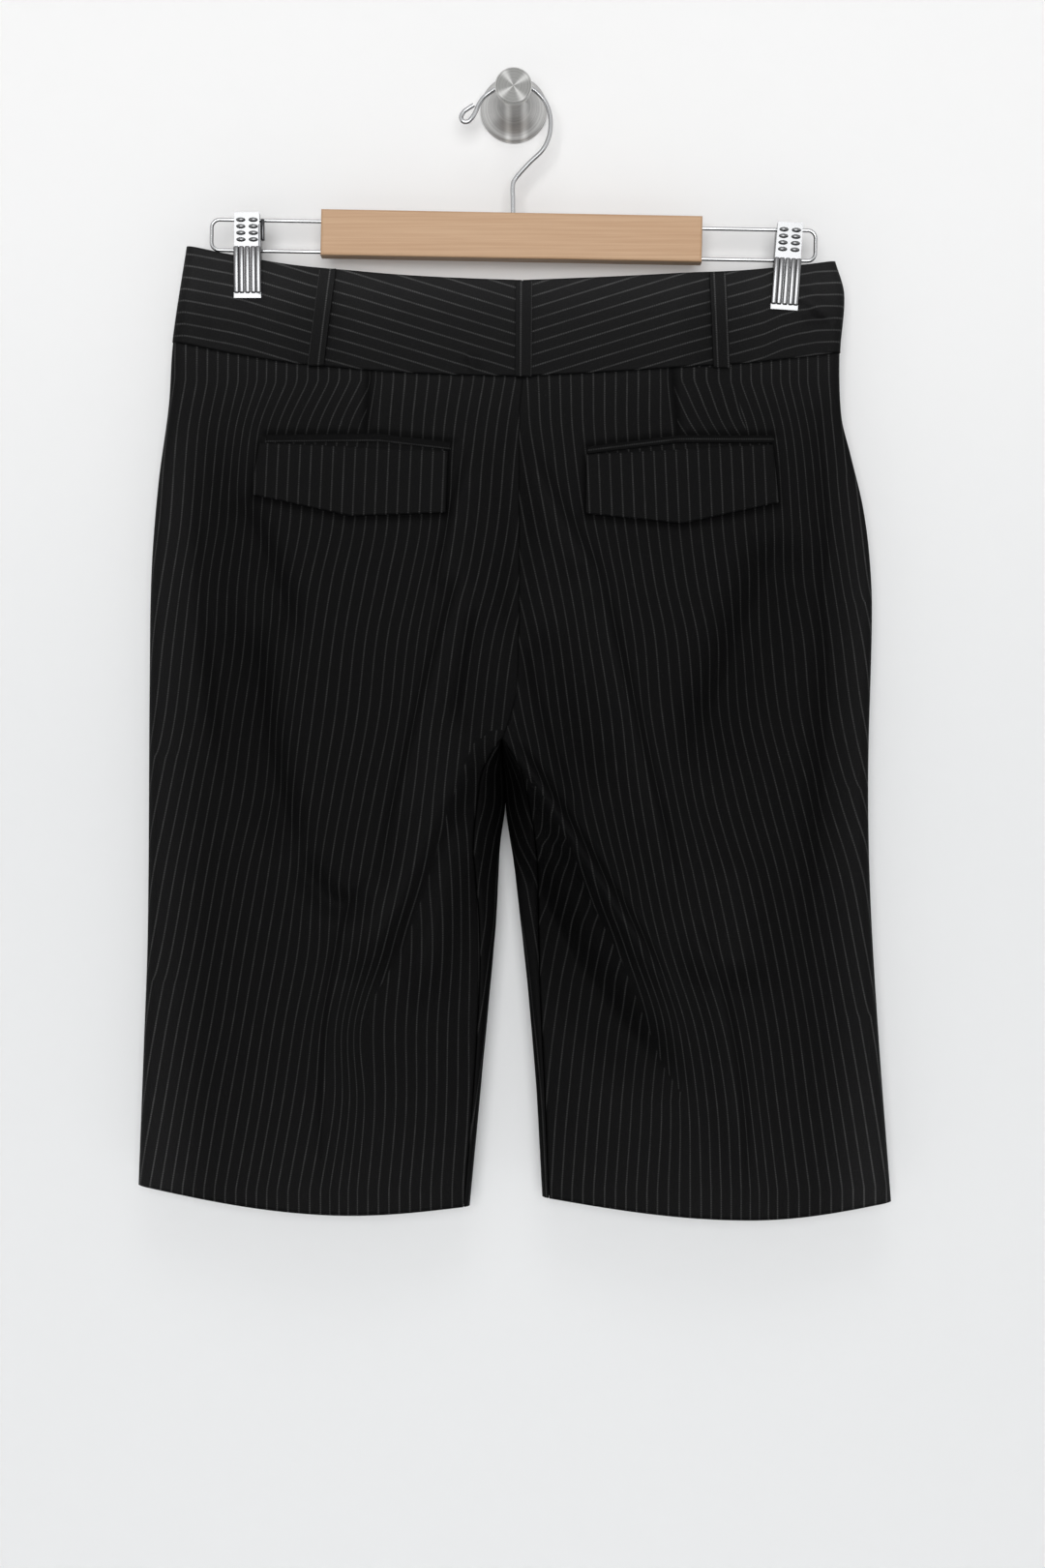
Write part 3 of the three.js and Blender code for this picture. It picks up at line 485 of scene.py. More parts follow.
def fold_rise(layer, x, z):
    """How far the folds lift a layer at each place; right is the right hand of the way down."""
    rise = np.zeros(np.broadcast(x, z).shape)
    for on, start, middle, end, height, left, right in FOLDS:
        if on != layer:
            continue
        start, middle, end = (np.array(p, float) for p in (start, middle, end))
        control = 2 * middle - (start + end) / 2
        t = np.linspace(0, 1, FOLD_STEPS + 1)[:, None]
        run = (1 - t) ** 2 * start + 2 * t * (1 - t) * control + t * t * end
        nearest = np.full(rise.shape, np.inf)
        along, side = np.zeros(rise.shape), np.zeros(rise.shape)
        for i in range(FOLD_STEPS):
            (ax, az), (bx, bz) = run[i], run[i + 1]
            length2 = (bx - ax) ** 2 + (bz - az) ** 2
            s = np.clip(((x - ax) * (bx - ax) + (z - az) * (bz - az)) / length2, 0, 1)
            distance = np.hypot(x - lerp(ax, bx, s), z - lerp(az, bz, s))
            closer = distance < nearest
            side = np.where(closer, (z - az) * (bx - ax) - (x - ax) * (bz - az), side)
            nearest = np.where(closer, distance, nearest)
            along = np.where(closer, (i + s) / FOLD_STEPS, along)
        taper = smooth(along / FOLD_TAPER) * smooth((1 - along) / FOLD_TAPER)
        rise += height * taper * np.exp(-((nearest / np.where(side < 0, left, right)) ** 2))
    return rise


def pinch(x, z):
    """How firmly the clips hold the two layers together: 1 between the jaws, 0 far away."""
    hold = np.zeros(np.broadcast(x, z).shape)
    for side in SIDES.values():
        clip = side["clip"]
        fade = np.where(np.abs(x) > abs(clip["x"]), PINCH["outward"], PINCH["inward"])
        across = smooth(1 - (np.abs(x - clip["x"]) - PINCH["flat"]) / fade)
        below = smooth(1 - (clip["bottom"] - PINCH["above_jaw"] - z) / PINCH["down"])
        hold = np.maximum(hold, across * below)
    return hold


def stand_off(layer, share, x, z):
    """How far a layer stands off the hanging plane."""
    full = np.sin(np.pi / 2 * share)
    across = lerp(np.sin(np.pi * share), full, column_at(DEPTHS, z, "spread"))
    open_off = (
        column_at(DEPTHS, z, "edge")
        + column_at(DEPTHS, z, layer) * np.maximum(across, 0)
        + fold_rise(layer, x, z)
    )
    held = BAND / 2 + LAYER_PLAY
    return lerp(np.maximum(open_off, LEAST_OFF), held, pinch(x, z))


def panel_row(side, layer, v):
    """The ends of each row of a panel: v is 0 at the waist seam and 1 at the hem."""
    s = SIDES[side]
    outer_z = lerp(s["seam"] - SEAM, s["hem"], v)
    waist = CENTRE[layer]["seam"] - SEAM
    inner_z = np.where(
        v < CROTCH_ROW,
        lerp(waist, CROTCH_Z, v / CROTCH_ROW),
        lerp(CROTCH_Z, s["hem_inner"], (v - CROTCH_ROW) / (1 - CROTCH_ROW)),
    )
    below = v >= CROTCH_ROW
    legs = below | (v > FORK_ROW) if layer == "front" else below
    seam_x = column_at(CENTRE_SEAM, inner_z, "x") + s["sign"] * SEWN / 2
    inner_x = np.where(legs, column_at(s["inner"], inner_z, "x"), seam_x)
    roll = np.where(
        below, column_at(s["inner"], inner_z, "roll"), np.where(legs, FORK_ROLL, 0.0)
    )
    return {
        "side": s,
        "outer_z": outer_z,
        "inner_z": inner_z,
        "outer_x": column_at(s["edge"], outer_z, "x"),
        "inner_x": inner_x,
        "roll": roll,
    }


def row_height(row, share, v):
    """The height of each row across: the waist seam and the hem sag in their middles."""
    s = row["side"]
    middle = s["crease_share"]
    to_crease = np.where(
        share < middle,
        np.sin(np.pi / 2 * share / middle),
        np.cos(np.pi / 2 * (share - middle) / (1 - middle)),
    )
    sag = s["seam_sag"] * np.sin(np.pi * share) * (1 - v) ** 4 + s["hem_sag"] * to_crease * v**4
    return lerp(row["outer_z"], row["inner_z"], share) - sag


def panel_points(side, layer, columns, rows):
    """The middle surface of a panel as a grid of points, from the side seam to the inner seam."""
    u = np.linspace(0, 1, columns + 1)[None, :]
    v = np.linspace(0, 1, rows + 1)[:, None]
    row = panel_row(side, layer, v)
    width = np.abs(row["inner_x"] - row["outer_x"])
    roll = row["roll"]
    inward = -row["side"]["sign"]
    edge = u < EDGE_SHARE
    edge_angle = np.pi / 2 * np.minimum(u / EDGE_SHARE, 1)
    t = (u - EDGE_SHARE) / (1 - EDGE_SHARE)
    over = np.zeros((rows + 1, columns + 1), bool)
    if layer == "back":
        distance = lerp(EDGE_ROUND, width - roll * INSEAM_SHARE, t)
        safe_roll = np.where(roll > 0, roll, 1)
        turned = np.where(roll > 0, round_off((width - distance) / safe_roll), 1.0)
    else:
        flat = width - EDGE_ROUND - roll
        front_depth = stand_off("front", 1.0, row["inner_x"], row["inner_z"])
        back_depth = stand_off("back", 1.0, row["inner_x"], row["inner_z"])
        first, second = (
            np.pi / 2 * np.hypot(depth, roll) * math.sqrt(0.5)
            for depth in (front_depth, back_depth)
        )
        reach = np.clip(1 - (PANEL + 2 * SEAM) / back_depth, 0, 1)
        under_back = np.arcsin(reach) / (np.pi / 2)
        last_turn = math.acos(1 - INSEAM_SHARE) / (math.pi / 2) - 1.5 * SEAM / np.maximum(roll, 4)
        turn_end = np.where(
            v < CROTCH_ROW,
            smooth((v - FORK_ROW) / (CROTCH_ROW - FORK_ROW)) * (1 + under_back),
            1 + np.minimum(last_turn, lerp(under_back, 1, (v - CROTCH_ROW) / COMES_OUT)),
        )
        length = flat + first * np.minimum(turn_end, 1) + second * np.maximum(turn_end - 1, 0)
        run = t * length
        past = run - flat
        turn = np.where(past < first, past / first, 1 + (past - first) / second)
        angle = np.pi / 2 * np.where(turn < 1, 1 - turn, turn - 1)
        straight = (run <= flat) | (turn_end == 0)
        distance = np.where(
            straight, EDGE_ROUND + np.minimum(run, flat), width - roll * (1 - np.cos(angle))
        )
        turned = np.where(straight, 1.0, np.sin(angle))
        over = ~straight & (turn >= 1) & ~edge
    distance = np.where(edge, EDGE_ROUND * (1 - np.cos(edge_angle)), distance)
    turned = np.where(edge, np.sin(edge_angle), turned)
    share = np.clip(distance / width, 0, 1)
    x = row["outer_x"] + inward * distance
    z = row_height(row, share, v)
    off = LAYER_SIGN[layer] * stand_off(layer, share, x, z)
    if layer == "front":
        off = np.where(over, -stand_off("back", share, x, z), off)
    seam_gap = LAYER_SIGN[layer] * SEAM / 2 * (1 - np.sin(edge_angle))
    y = HANG_Y + off * turned + np.where(edge, seam_gap, 0)
    return np.stack([x, y, z], axis=-1)


def band_points(side, layer, columns, rows):
    """The middle surface of a quarter of the waistband."""
    s = SIDES[side]
    u = np.linspace(0, 1, columns + 1)[None, :]
    v = np.linspace(0, 1, rows + 1)[:, None]
    outer_z = lerp(s["band_top"], s["seam"], v)
    inner_z = lerp(CENTRE[layer]["band_top"], CENTRE[layer]["seam"], v)
    outer_x = column_at(s["edge"], outer_z, "x")
    inner_x = column_at(CENTRE_SEAM, inner_z, "x") + s["sign"] * SEAM / 2
    width = np.abs(inner_x - outer_x)
    angle = np.pi / 2 * np.minimum(u / EDGE_SHARE, 1)
    flat = lerp(EDGE_ROUND, width, (u - EDGE_SHARE) / (1 - EDGE_SHARE))
    distance = np.where(u < EDGE_SHARE, EDGE_ROUND * (1 - np.cos(angle)), flat)
    share = distance / width
    x = outer_x - s["sign"] * distance
    sag = lerp(s["band_sag"], s["seam_sag"], v) * np.sin(np.pi * share)
    z = lerp(outer_z, inner_z, share) - sag
    crumple = fold_rise("band", x, z) if layer == "back" else 0
    off = lerp(SEAM / 2, stand_off(layer, share, x, z) + crumple, np.sin(angle))
    return np.stack([x, HANG_Y + LAYER_SIGN[layer] * off, z], axis=-1)


def layer_at(side, layer, x, z):
    """The stand-off of a layer at a place given by x and z alone, for what lies on it."""
    s = SIDES[side]
    outer_x = column_at(s["edge"], z, "x")
    inner_x = np.where(
        z > CROTCH_Z, column_at(CENTRE_SEAM, z, "x"), column_at(s["inner"], z, "x")
    )
    share = np.clip((x - outer_x) / (inner_x - outer_x), 0, 1)
    return stand_off(layer, share, x, z)


def run_along(points):
    """The distance along each row of a grid, in the level plane."""
    steps = np.hypot(np.diff(points[..., 0], axis=1), np.diff(points[..., 1], axis=1))
    return np.concatenate([np.zeros((len(points), 1)), np.cumsum(steps, axis=1)], axis=1)


def from_lines(lines, x, z):
    """The distance from each place to the nearest of some lines of points."""
    nearest = np.full(np.broadcast(x, z).shape, np.inf)
    for line in lines:
        for (ax, az), (bx, bz) in zip(line, line[1:]):
            length2 = (bx - ax) ** 2 + (bz - az) ** 2
            s = np.clip(((x - ax) * (bx - ax) + (z - az) * (bz - az)) / length2, 0, 1)
            nearest = np.minimum(nearest, np.hypot(x - lerp(ax, bx, s), z - lerp(az, bz, s)))
    return nearest


def within(outlines, x, z):
    """How far inside the nearest closed outline each place is; outside is negative."""
    inside = np.zeros(np.broadcast(x, z).shape, bool)
    rings = [[*ring, ring[0]] for ring in outlines]
    for ring in rings:
        for (ax, az), (bx, bz) in zip(ring, ring[1:]):
            if az != bz:
                inside ^= ((az > z) != (bz > z)) & (x < ax + (z - az) / (bz - az) * (bx - ax))
    away = from_lines(rings, x, z)
    return np.where(inside, away, -away)


# Painted shade: a soft dark spot on the cloth's colour
def painted_shade_spot(spot, layer, x, z):
    away = ((x - spot["x"]) / spot["wide"]) ** 2 + ((z - spot["z"]) / spot["high"]) ** 2
    return 1 - spot["loss"].get(layer, 0) * np.exp(-away)


def painted_light_and_shade_at(layer, x, z):
    """Painted light and shade: how much lighter the cloth looks than its own colour at each place: 0 is the
    same.
    """
    share = np.interp(-z, [-h for h in PAINTED_LIGHTNESS["z"]], PAINTED_LIGHTNESS["share"])
    s = PAINTED_SIDE_LIGHT
    beside = smooth((np.abs(x) - s["from"]) / (s["to"] - s["from"]))
    share = share * (1 + s["gain"] * beside * smooth((s["below"] - z) / (s["below"] - s["full"])))
    share = share * (1 + FOLD_PAINTED_LIGHT_SHADE * np.clip(fold_rise(layer, x, z), -8, 8))
    return share * painted_shade_spot(CROTCH_PAINTED_SHADE, layer, x, z) * painted_shade_spot(LEG_PAINTED_SHADE, layer, x, z) - 1


def painted_shade_lines(side):
    """The lines along which shade is painted on a back panel: round its flap and welt, and along its dart.
    """
    flap, welt = FLAPS[side], WELTS[side]
    top = [(x, z + 0.8) for x, z in (welt["outer"], welt["middle"], welt["inner"])]
    ring = [flap[k] for k in ("top_outer", "bottom_outer", "tip", "bottom_inner", "top_inner")]
    low = [(x, z - 0.8) for x, z in ring]
    dart = TURNED[side][0][:2]
    return [top, low, dart]


def grain_of_back(side, points, rows):
    """The stripe number and the distance down the stripe at each point of a back panel."""
    table = np.array(rows, float)
    numbers = np.arange(table.shape[1] - 1) * GRAIN_STEP
    along = run_along(points)
    stripe = np.empty(along.shape)
    for j, (x, z) in enumerate(zip(points[..., 0], points[..., 2])):
        guides = {"z": table[:, 0]} | {n: table[:, i + 1] for i, n in enumerate(numbers)}
        height = np.interp(0.5, np.linspace(0, 1, len(z)), z)
        order = np.argsort(x)
        xs, runs = x[order], along[j][order]
        turned = 1 if runs[-1] > runs[0] else -1
        places = []
        for i, n in enumerate(numbers):
            line_x = column_at(guides, np.array([height]), n)[0]
            for _ in range(2):
                at = np.interp(line_x, xs, z[order])
                line_x = column_at(guides, np.array([at]), n)[0]
            beyond = line_x - np.clip(line_x, xs[0], xs[-1])
            places.append(turned * (np.interp(line_x, xs, runs) + turned * beyond))
        run = turned * along[j]
        inside = np.interp(run, places, numbers)
        before = numbers[0] + (run - places[0]) / PITCH
        after = numbers[-1] + (run - places[-1]) / PITCH
        stripe[j] = np.where(run < places[0], before, np.where(run > places[-1], after, inside))
    return stripe, -points[..., 2]


def grain_of_front(side, points):
    """The same for a front panel, whose stripes run with its pressed crease."""
    x, z = points[..., 0], points[..., 2]
    line = np.interp(-z, FRONT_CREASE["z"], FRONT_CREASE[side])
    along = run_along(points)
    stripe = np.empty_like(x)
    inward = -SIDES[side]["sign"]
    for j in range(len(x)):
        flat = slice(0, np.argmax(inward * x[j]) + 1)
        at = np.interp(inward * line[j], inward * x[j][flat], along[j][flat])
        stripe[j] = inward * (along[j] - at) / PITCH
    return stripe, -z


# Meshes
def deselect():
    for o in bpy.context.view_layer.objects:
        o.select_set(False)


def activate(obj):
    deselect()
    obj.select_set(True)
    bpy.context.view_layer.objects.active = obj


def cloth_shell(name, points, grain, outward, thickness, material, tone=0.0, turned=None, side=-1.0):
    """A closed thin shell from a grid of points in millimetres.

    Its grain is a UV map, and so is the turned grain that shows where side is above 0.
    """
    rows, columns = points.shape[0] - 1, points.shape[1] - 1
    index = np.arange((rows + 1) * (columns + 1)).reshape(rows + 1, columns + 1)
    a, b, c, d = index[:-1, :-1], index[1:, :-1], index[1:, 1:], index[:-1, 1:]
    faces = np.stack([a, b, c, d], axis=-1).reshape(-1, 4)
    flat = points.reshape(-1, 3)
    normal = np.cross(flat[faces[:, 1]] - flat[faces[:, 0]], flat[faces[:, 2]] - flat[faces[:, 0]])
    if normal[:, 1].sum() * outward < 0:
        faces = faces[:, ::-1]
    mesh = bpy.data.meshes.new(name)
    mesh.from_pydata((flat * MM).tolist(), [], faces.tolist())
    for key, chart in (("grain", grain), ("turned_grain", turned or grain)):
        stripe, down = (np.broadcast_to(g, points.shape[:2]).reshape(-1) for g in chart)
        uv = np.stack([stripe[faces], down[faces]], axis=-1)
        mesh.uv_layers.new(name=key).data.foreach_set("uv", uv.astype(np.float32).reshape(-1))
    for key, values in (("tone", tone), ("turned_side", side)):
        flat_values = np.broadcast_to(values, points.shape[:2]).reshape(-1).astype(np.float32)
        mesh.attributes.new(key, "FLOAT", "POINT").data.foreach_set("value", flat_values)
    mesh.polygons.foreach_set("use_smooth", [True] * len(faces))
    mesh.materials.append(material)
    obj = bpy.data.objects.new(name, mesh)
    bpy.context.scene.collection.objects.link(obj)
    activate(obj)
    wall = obj.modifiers.new("wall", "SOLIDIFY")
    wall.thickness = thickness * MM
    wall.offset = 0
    bpy.ops.object.modifier_apply(modifier=wall.name)
    return obj


def seat(obj, slot, *nodes):
    """A finished piece rides on the one body and stands for its CAD nodes, which it hides; its slot is not
    used.
    """
    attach(obj, "root")
    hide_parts(*nodes)
    return obj


def smooth_run(points, steps):
    """Places along a smooth curve through points, with some steps between each two."""
    p = np.array([points[0], *points, points[-1]], float)
    run = []
    for before, start, end, after in zip(p, p[1:], p[2:], p[3:]):
        for t in np.linspace(0, 1, steps, endpoint=False):
            run.append(
                start
                + (end - before) / 2 * t
                + (before - 2.5 * start + 2 * end - after / 2) * t**2
                + ((after - before) / 2 + 1.5 * (start - end)) * t**3
            )
    return [*run, p[-1]]


def select_ring(mesh, ring, size):
    """Selects one ring of an open tube by the order in which its vertices were made."""
    for vertex in mesh.vertices:
        vertex.select = ring * size <= vertex.index < (ring + 1) * size


def close_ends(obj, size):
    """Fills the first and the last ring of an open tube."""
    last = len(obj.data.vertices) // size - 1
    for ring in (0, last):
        bpy.ops.object.mode_set(mode="OBJECT")
        for part in (obj.data.edges, obj.data.polygons):
            part.foreach_set("select", [False] * len(part))
        select_ring(obj.data, ring, size)
        bpy.ops.object.mode_set(mode="EDIT")
        bpy.ops.mesh.select_mode(type="VERT")
        bpy.ops.mesh.edge_face_add()
    bpy.ops.mesh.select_all(action="SELECT")
    bpy.ops.mesh.normals_make_consistent(inside=False)
    bpy.ops.object.mode_set(mode="OBJECT")


def settle(obj, name, material, angle=30):
    """Names a finished hard piece, sets its turn and size into its mesh and shades it."""
    activate(obj)
    bpy.ops.object.transform_apply(location=True, rotation=True, scale=True)
    bpy.ops.object.shade_smooth_by_angle(angle=math.radians(angle))
    obj.name = name
    obj.data.name = name
    obj.data.materials.clear()
    obj.data.materials.append(material)
    return obj


def wire(name, places, radius, material):
    """A round wire in the hanging plane: a circle drawn out along its way and turned at each step."""
    way = [Vector((x * MM, HANG_Y * MM, z * MM)) for x, z in places]
    ways = zip([way[0], *way], [*way[1:], way[-1]])
    headings = [math.atan2((b - a).x, (b - a).z) for a, b in ways][: len(way)]
    deselect()
    bpy.ops.mesh.primitive_circle_add(
        vertices=WIRE_SIDES, radius=radius * MM, location=way[0], rotation=(0, headings[0], 0)
    )
    obj = bpy.context.object
    activate(obj)
    bpy.ops.object.transform_apply(location=True, rotation=True, scale=True)
    bpy.ops.object.mode_set(mode="EDIT")
    bpy.ops.mesh.select_all(action="SELECT")
    for here, there, before, after in zip(way, way[1:], headings, headings[1:]):
        bpy.ops.mesh.extrude_region_move(TRANSFORM_OT_translate={"value": there - here})
        turn = (after - before + math.pi) % (2 * math.pi) - math.pi
        bpy.ops.transform.rotate(value=-turn, orient_axis="Y", orient_type="GLOBAL", center_override=there)
    bpy.ops.object.mode_set(mode="OBJECT")
    close_ends(obj, WIRE_SIDES)
    return settle(obj, name, material)


def box(size, place):
    bpy.ops.mesh.primitive_cube_add(size=1, location=[k * MM for k in place])
    obj = bpy.context.object
    obj.scale = [k * MM for k in size]
    bpy.ops.object.transform_apply(location=False, rotation=False, scale=True)
    return obj


def rounded(obj, width, segments=3):
    activate(obj)
    bevel = obj.modifiers.new("round", "BEVEL")
    bevel.width = width * MM
    bevel.segments = segments
    bpy.ops.object.modifier_apply(modifier=bevel.name)
    return obj


def join(pieces):
    deselect()
    for piece in pieces:
        piece.select_set(True)
    bpy.context.view_layer.objects.active = pieces[0]
    bpy.ops.object.join()
    return bpy.context.object


# Materials
def new_material(name):
    material = bpy.data.materials.new(name)
    material.use_nodes = True
    tree = material.node_tree
    return material, tree, tree.nodes["Principled BSDF"]


def set_inputs(tree, node, inputs):
    """Sets some of a node's inputs, or links them."""
    for key, value in inputs.items():
        if isinstance(value, bpy.types.NodeSocket):
            tree.links.new(value, node.inputs[key])
        else:
            node.inputs[key].default_value = value


def add_node(tree, kind, inputs=(), **settings):
    """A node with its settings made and its inputs set or linked."""
    node = tree.nodes.new(kind)
    for key, value in settings.items():
        setattr(node, key, value)
    set_inputs(tree, node, dict(inputs))
    return node


def math_node(tree, operation, *values, clamp=False):
    node = add_node(tree, "ShaderNodeMath", dict(enumerate(values)), operation=operation)
    node.use_clamp = clamp
    return node.outputs[0]


def mix_colours(tree, share, low, high):
    """The colour between two, each of them a link or three numbers."""
    ends = (end if isinstance(end, bpy.types.NodeSocket) else (*end, 1) for end in (low, high))
    inputs = dict(zip((0, 6, 7), (share, *ends)))
    return add_node(tree, "ShaderNodeMix", inputs, data_type="RGBA").outputs[2]


def map_range(tree, value, start, end, low=0.0, high=1.0, kind="LINEAR"):
    inputs = dict(enumerate((value, start, end, low, high)))
    return add_node(tree, "ShaderNodeMapRange", inputs, interpolation_type=kind).outputs[0]


def noise(tree, place, scale, detail, roughness=0.5):
    inputs = {"Vector": place, "Scale": scale, "Detail": detail, "Roughness": roughness}
    return add_node(tree, "ShaderNodeTexNoise", inputs).outputs[0]


def bump(tree, height, strength, distance):
    inputs = {"Height": height, "Strength": strength, "Distance": distance}
    return add_node(tree, "ShaderNodeBump", inputs).outputs[0]


def object_place(tree):
    return add_node(tree, "ShaderNodeTexCoord").outputs["Object"]


def stretched(tree, place, scale):
    return add_node(tree, "ShaderNodeMapping", {0: place, 3: scale}).outputs[0]


def attribute(tree, name):
    return add_node(tree, "ShaderNodeAttribute", attribute_name=name).outputs["Fac"]


def group_with(name, inputs, outputs):
    """An empty node group with named float or vector sockets."""
    group = bpy.data.node_groups.new(name, "ShaderNodeTree")
    for socket, kind, value in inputs:
        made = group.interface.new_socket(name=socket, in_out="INPUT", socket_type=kind)
        if value is not None:
            made.default_value = value
    for socket, kind in outputs:
        group.interface.new_socket(name=socket, in_out="OUTPUT", socket_type=kind)
    start = group.nodes.new("NodeGroupInput")
    end = group.nodes.new("NodeGroupOutput")
    return group, start, end


def pinstripe_group():
    """Dotted pinstripes from a grain map: U counts stripes and V is millimetres down them."""
    group, start, end = group_with(
        "Pinstripe",
        [
            ("Grain", "NodeSocketVector", None),
            ("Width", "NodeSocketFloat", 0.11),
            ("Dot Length", "NodeSocketFloat", 1.3),
        ],
        [("Mask", "NodeSocketFloat")],
    )
    grain = start.outputs["Grain"]
    stripe, down, _ = add_node(group, "ShaderNodeSeparateXYZ", {0: grain}).outputs
    from_line = math_node(group, "PINGPONG", stripe, 0.5)
    half = math_node(group, "MULTIPLY", start.outputs["Width"], 0.5)
    outer = math_node(group, "MULTIPLY", half, 1.5)
    inner = math_node(group, "MULTIPLY", half, 0.5)
    line = map_range(group, from_line, outer, inner, kind="SMOOTHSTEP")
    dots_down = math_node(group, "DIVIDE", down, start.outputs["Dot Length"])
    shift = math_node(group, "MULTIPLY", math_node(group, "ROUND", stripe), 0.37)
    from_dot = math_node(group, "PINGPONG", math_node(group, "ADD", dots_down, shift), 0.5)
    dot = map_range(group, from_dot, 0.08, 0.26, 0.25, 1.0, "SMOOTHSTEP")
    wear = noise(group, stretched(group, grain, (0.7, 0.09, 1.0)), 1.0, 3.0)
    lit = math_node(group, "MULTIPLY", dot, map_range(group, wear, 0.3, 0.7, 0.55, 1.0))
    group.links.new(math_node(group, "MULTIPLY", line, lit), end.inputs[0])
    return group


def weave_group():
    """The fine twill of a suiting as a height, with slubs."""
    group, start, end = group_with(
        "Suiting Weave",
        [("Grain", "NodeSocketVector", None), ("Threads", "NodeSocketFloat", 2.2)],
        [("Height", "NodeSocketFloat"), ("Fleck", "NodeSocketFloat")],
    )
    threads = start.outputs["Threads"]
    stripe, down, _ = add_node(group, "ShaderNodeSeparateXYZ", {0: start.outputs["Grain"]}).outputs
    across = math_node(group, "MULTIPLY", stripe, PITCH)
    warp = math_node(group, "MULTIPLY", across, threads)
    weft = math_node(group, "MULTIPLY", down, threads)
    diagonal = math_node(group, "ADD", warp, math_node(group, "MULTIPLY", weft, 0.5))
    twill = math_node(group, "MULTIPLY", math_node(group, "PINGPONG", diagonal, 0.5), 0.8)
    thread = math_node(group, "MULTIPLY", math_node(group, "PINGPONG", weft, 0.5), 0.4)
    place = add_node(group, "ShaderNodeCombineXYZ", {0: across, 1: down}).outputs[0]
    slub = noise(group, place, 1.1, 4.0)
    slubs = math_node(group, "MULTIPLY", slub, 0.8)
    height = math_node(group, "ADD", math_node(group, "ADD", twill, thread), slubs)
    group.links.new(height, end.inputs[0])
    group.links.new(map_range(group, slub, 0.3, 0.7), end.inputs[1])
    return group


def brushed_group():
    """Fine scratches round an axis or along it, as a mask."""
    group, start, end = group_with(
        "Brushed Lines",
        [("Place", "NodeSocketVector", None), ("Scale", "NodeSocketFloat", 30.0)],
        [("Lines", "NodeSocketFloat")],
    )
    lines = noise(group, start.outputs["Place"], start.outputs["Scale"], 5.0, 0.7)
    group.links.new(lines, end.inputs[0])
    return group


def cloth_material(settings):
    """Pinstriped suiting on the chart of its grain, or of its turned grain where that shows."""
    material, tree, shader = new_material("pinstripe_suiting")
    charts = {
        0: math_node(tree, "GREATER_THAN", attribute(tree, "turned_side"), 0.0),
        4: add_node(tree, "ShaderNodeUVMap", uv_map="grain").outputs[0],
        5: add_node(tree, "ShaderNodeUVMap", uv_map="turned_grain").outputs[0],
    }
    grain = add_node(tree, "ShaderNodeMix", charts, data_type="VECTOR").outputs[1]
    stripes = add_node(tree, "ShaderNodeGroup", node_tree=pinstripe_group())
    set_inputs(tree, stripes, {"Grain": grain, "Width": settings.stripe_width / PITCH})
    weave = add_node(tree, "ShaderNodeGroup", node_tree=weave_group())
    set_inputs(tree, weave, {"Grain": grain})
    ground = mix_colours(tree, weave.outputs["Fleck"], settings.cloth_shade, settings.cloth_colour)
    colour = mix_colours(tree, stripes.outputs["Mask"], ground, settings.stripe_colour)
    # The tone attribute is painted light and shade: it scales the colour and the specular level
    share = math_node(tree, "ADD", attribute(tree, "tone"), 1.0)
    share = math_node(tree, "MAXIMUM", share, 0.0)
    toned = add_node(
        tree, "ShaderNodeVectorMath", {0: colour, "Scale": share}, operation="SCALE"
    ).outputs[0]
    finish = {
        "Base Color": toned,
        "Normal": bump(tree, weave.outputs["Height"], 0.35, 0.00025),
        "Specular IOR Level": math_node(tree, "MULTIPLY", share, 0.03),
        "Roughness": 0.55,
    }
    set_inputs(tree, shader, finish)
    return material


def plain_material(name, colour, roughness, metallic=0.0, specular=0.5):
    material, tree, shader = new_material(name)
    finish = {
        "Base Color": (*colour, 1),
        "Roughness": roughness,
        "Metallic": metallic,
        "Specular IOR Level": specular,
    }
    set_inputs(tree, shader, finish)
    return material


def wood_material(settings):
    material, tree, shader = new_material("light_maple")
    place = object_place(tree)
    fibres = noise(tree, stretched(tree, place, (12.0, 120.0, 800.0)), 1.0, 6.0, 0.6)
    bands = noise(tree, stretched(tree, place, (1.6, 10.0, 42.0)), 1.0, 2.0)
    fine = math_node(tree, "MULTIPLY", fibres, 0.8)
    mixed = math_node(tree, "ADD", fine, math_node(tree, "MULTIPLY", bands, 0.4))
    tone = map_range(tree, mixed, 0.45, 0.75)
    finish = {
        "Base Color": mix_colours(tree, tone, settings.wood_shade, settings.wood_colour),
        "Normal": bump(tree, fibres, 0.15, 0.0002),
        "Roughness": 0.48,
        "Specular IOR Level": 0.35,
    }
    set_inputs(tree, shader, finish)
    return material


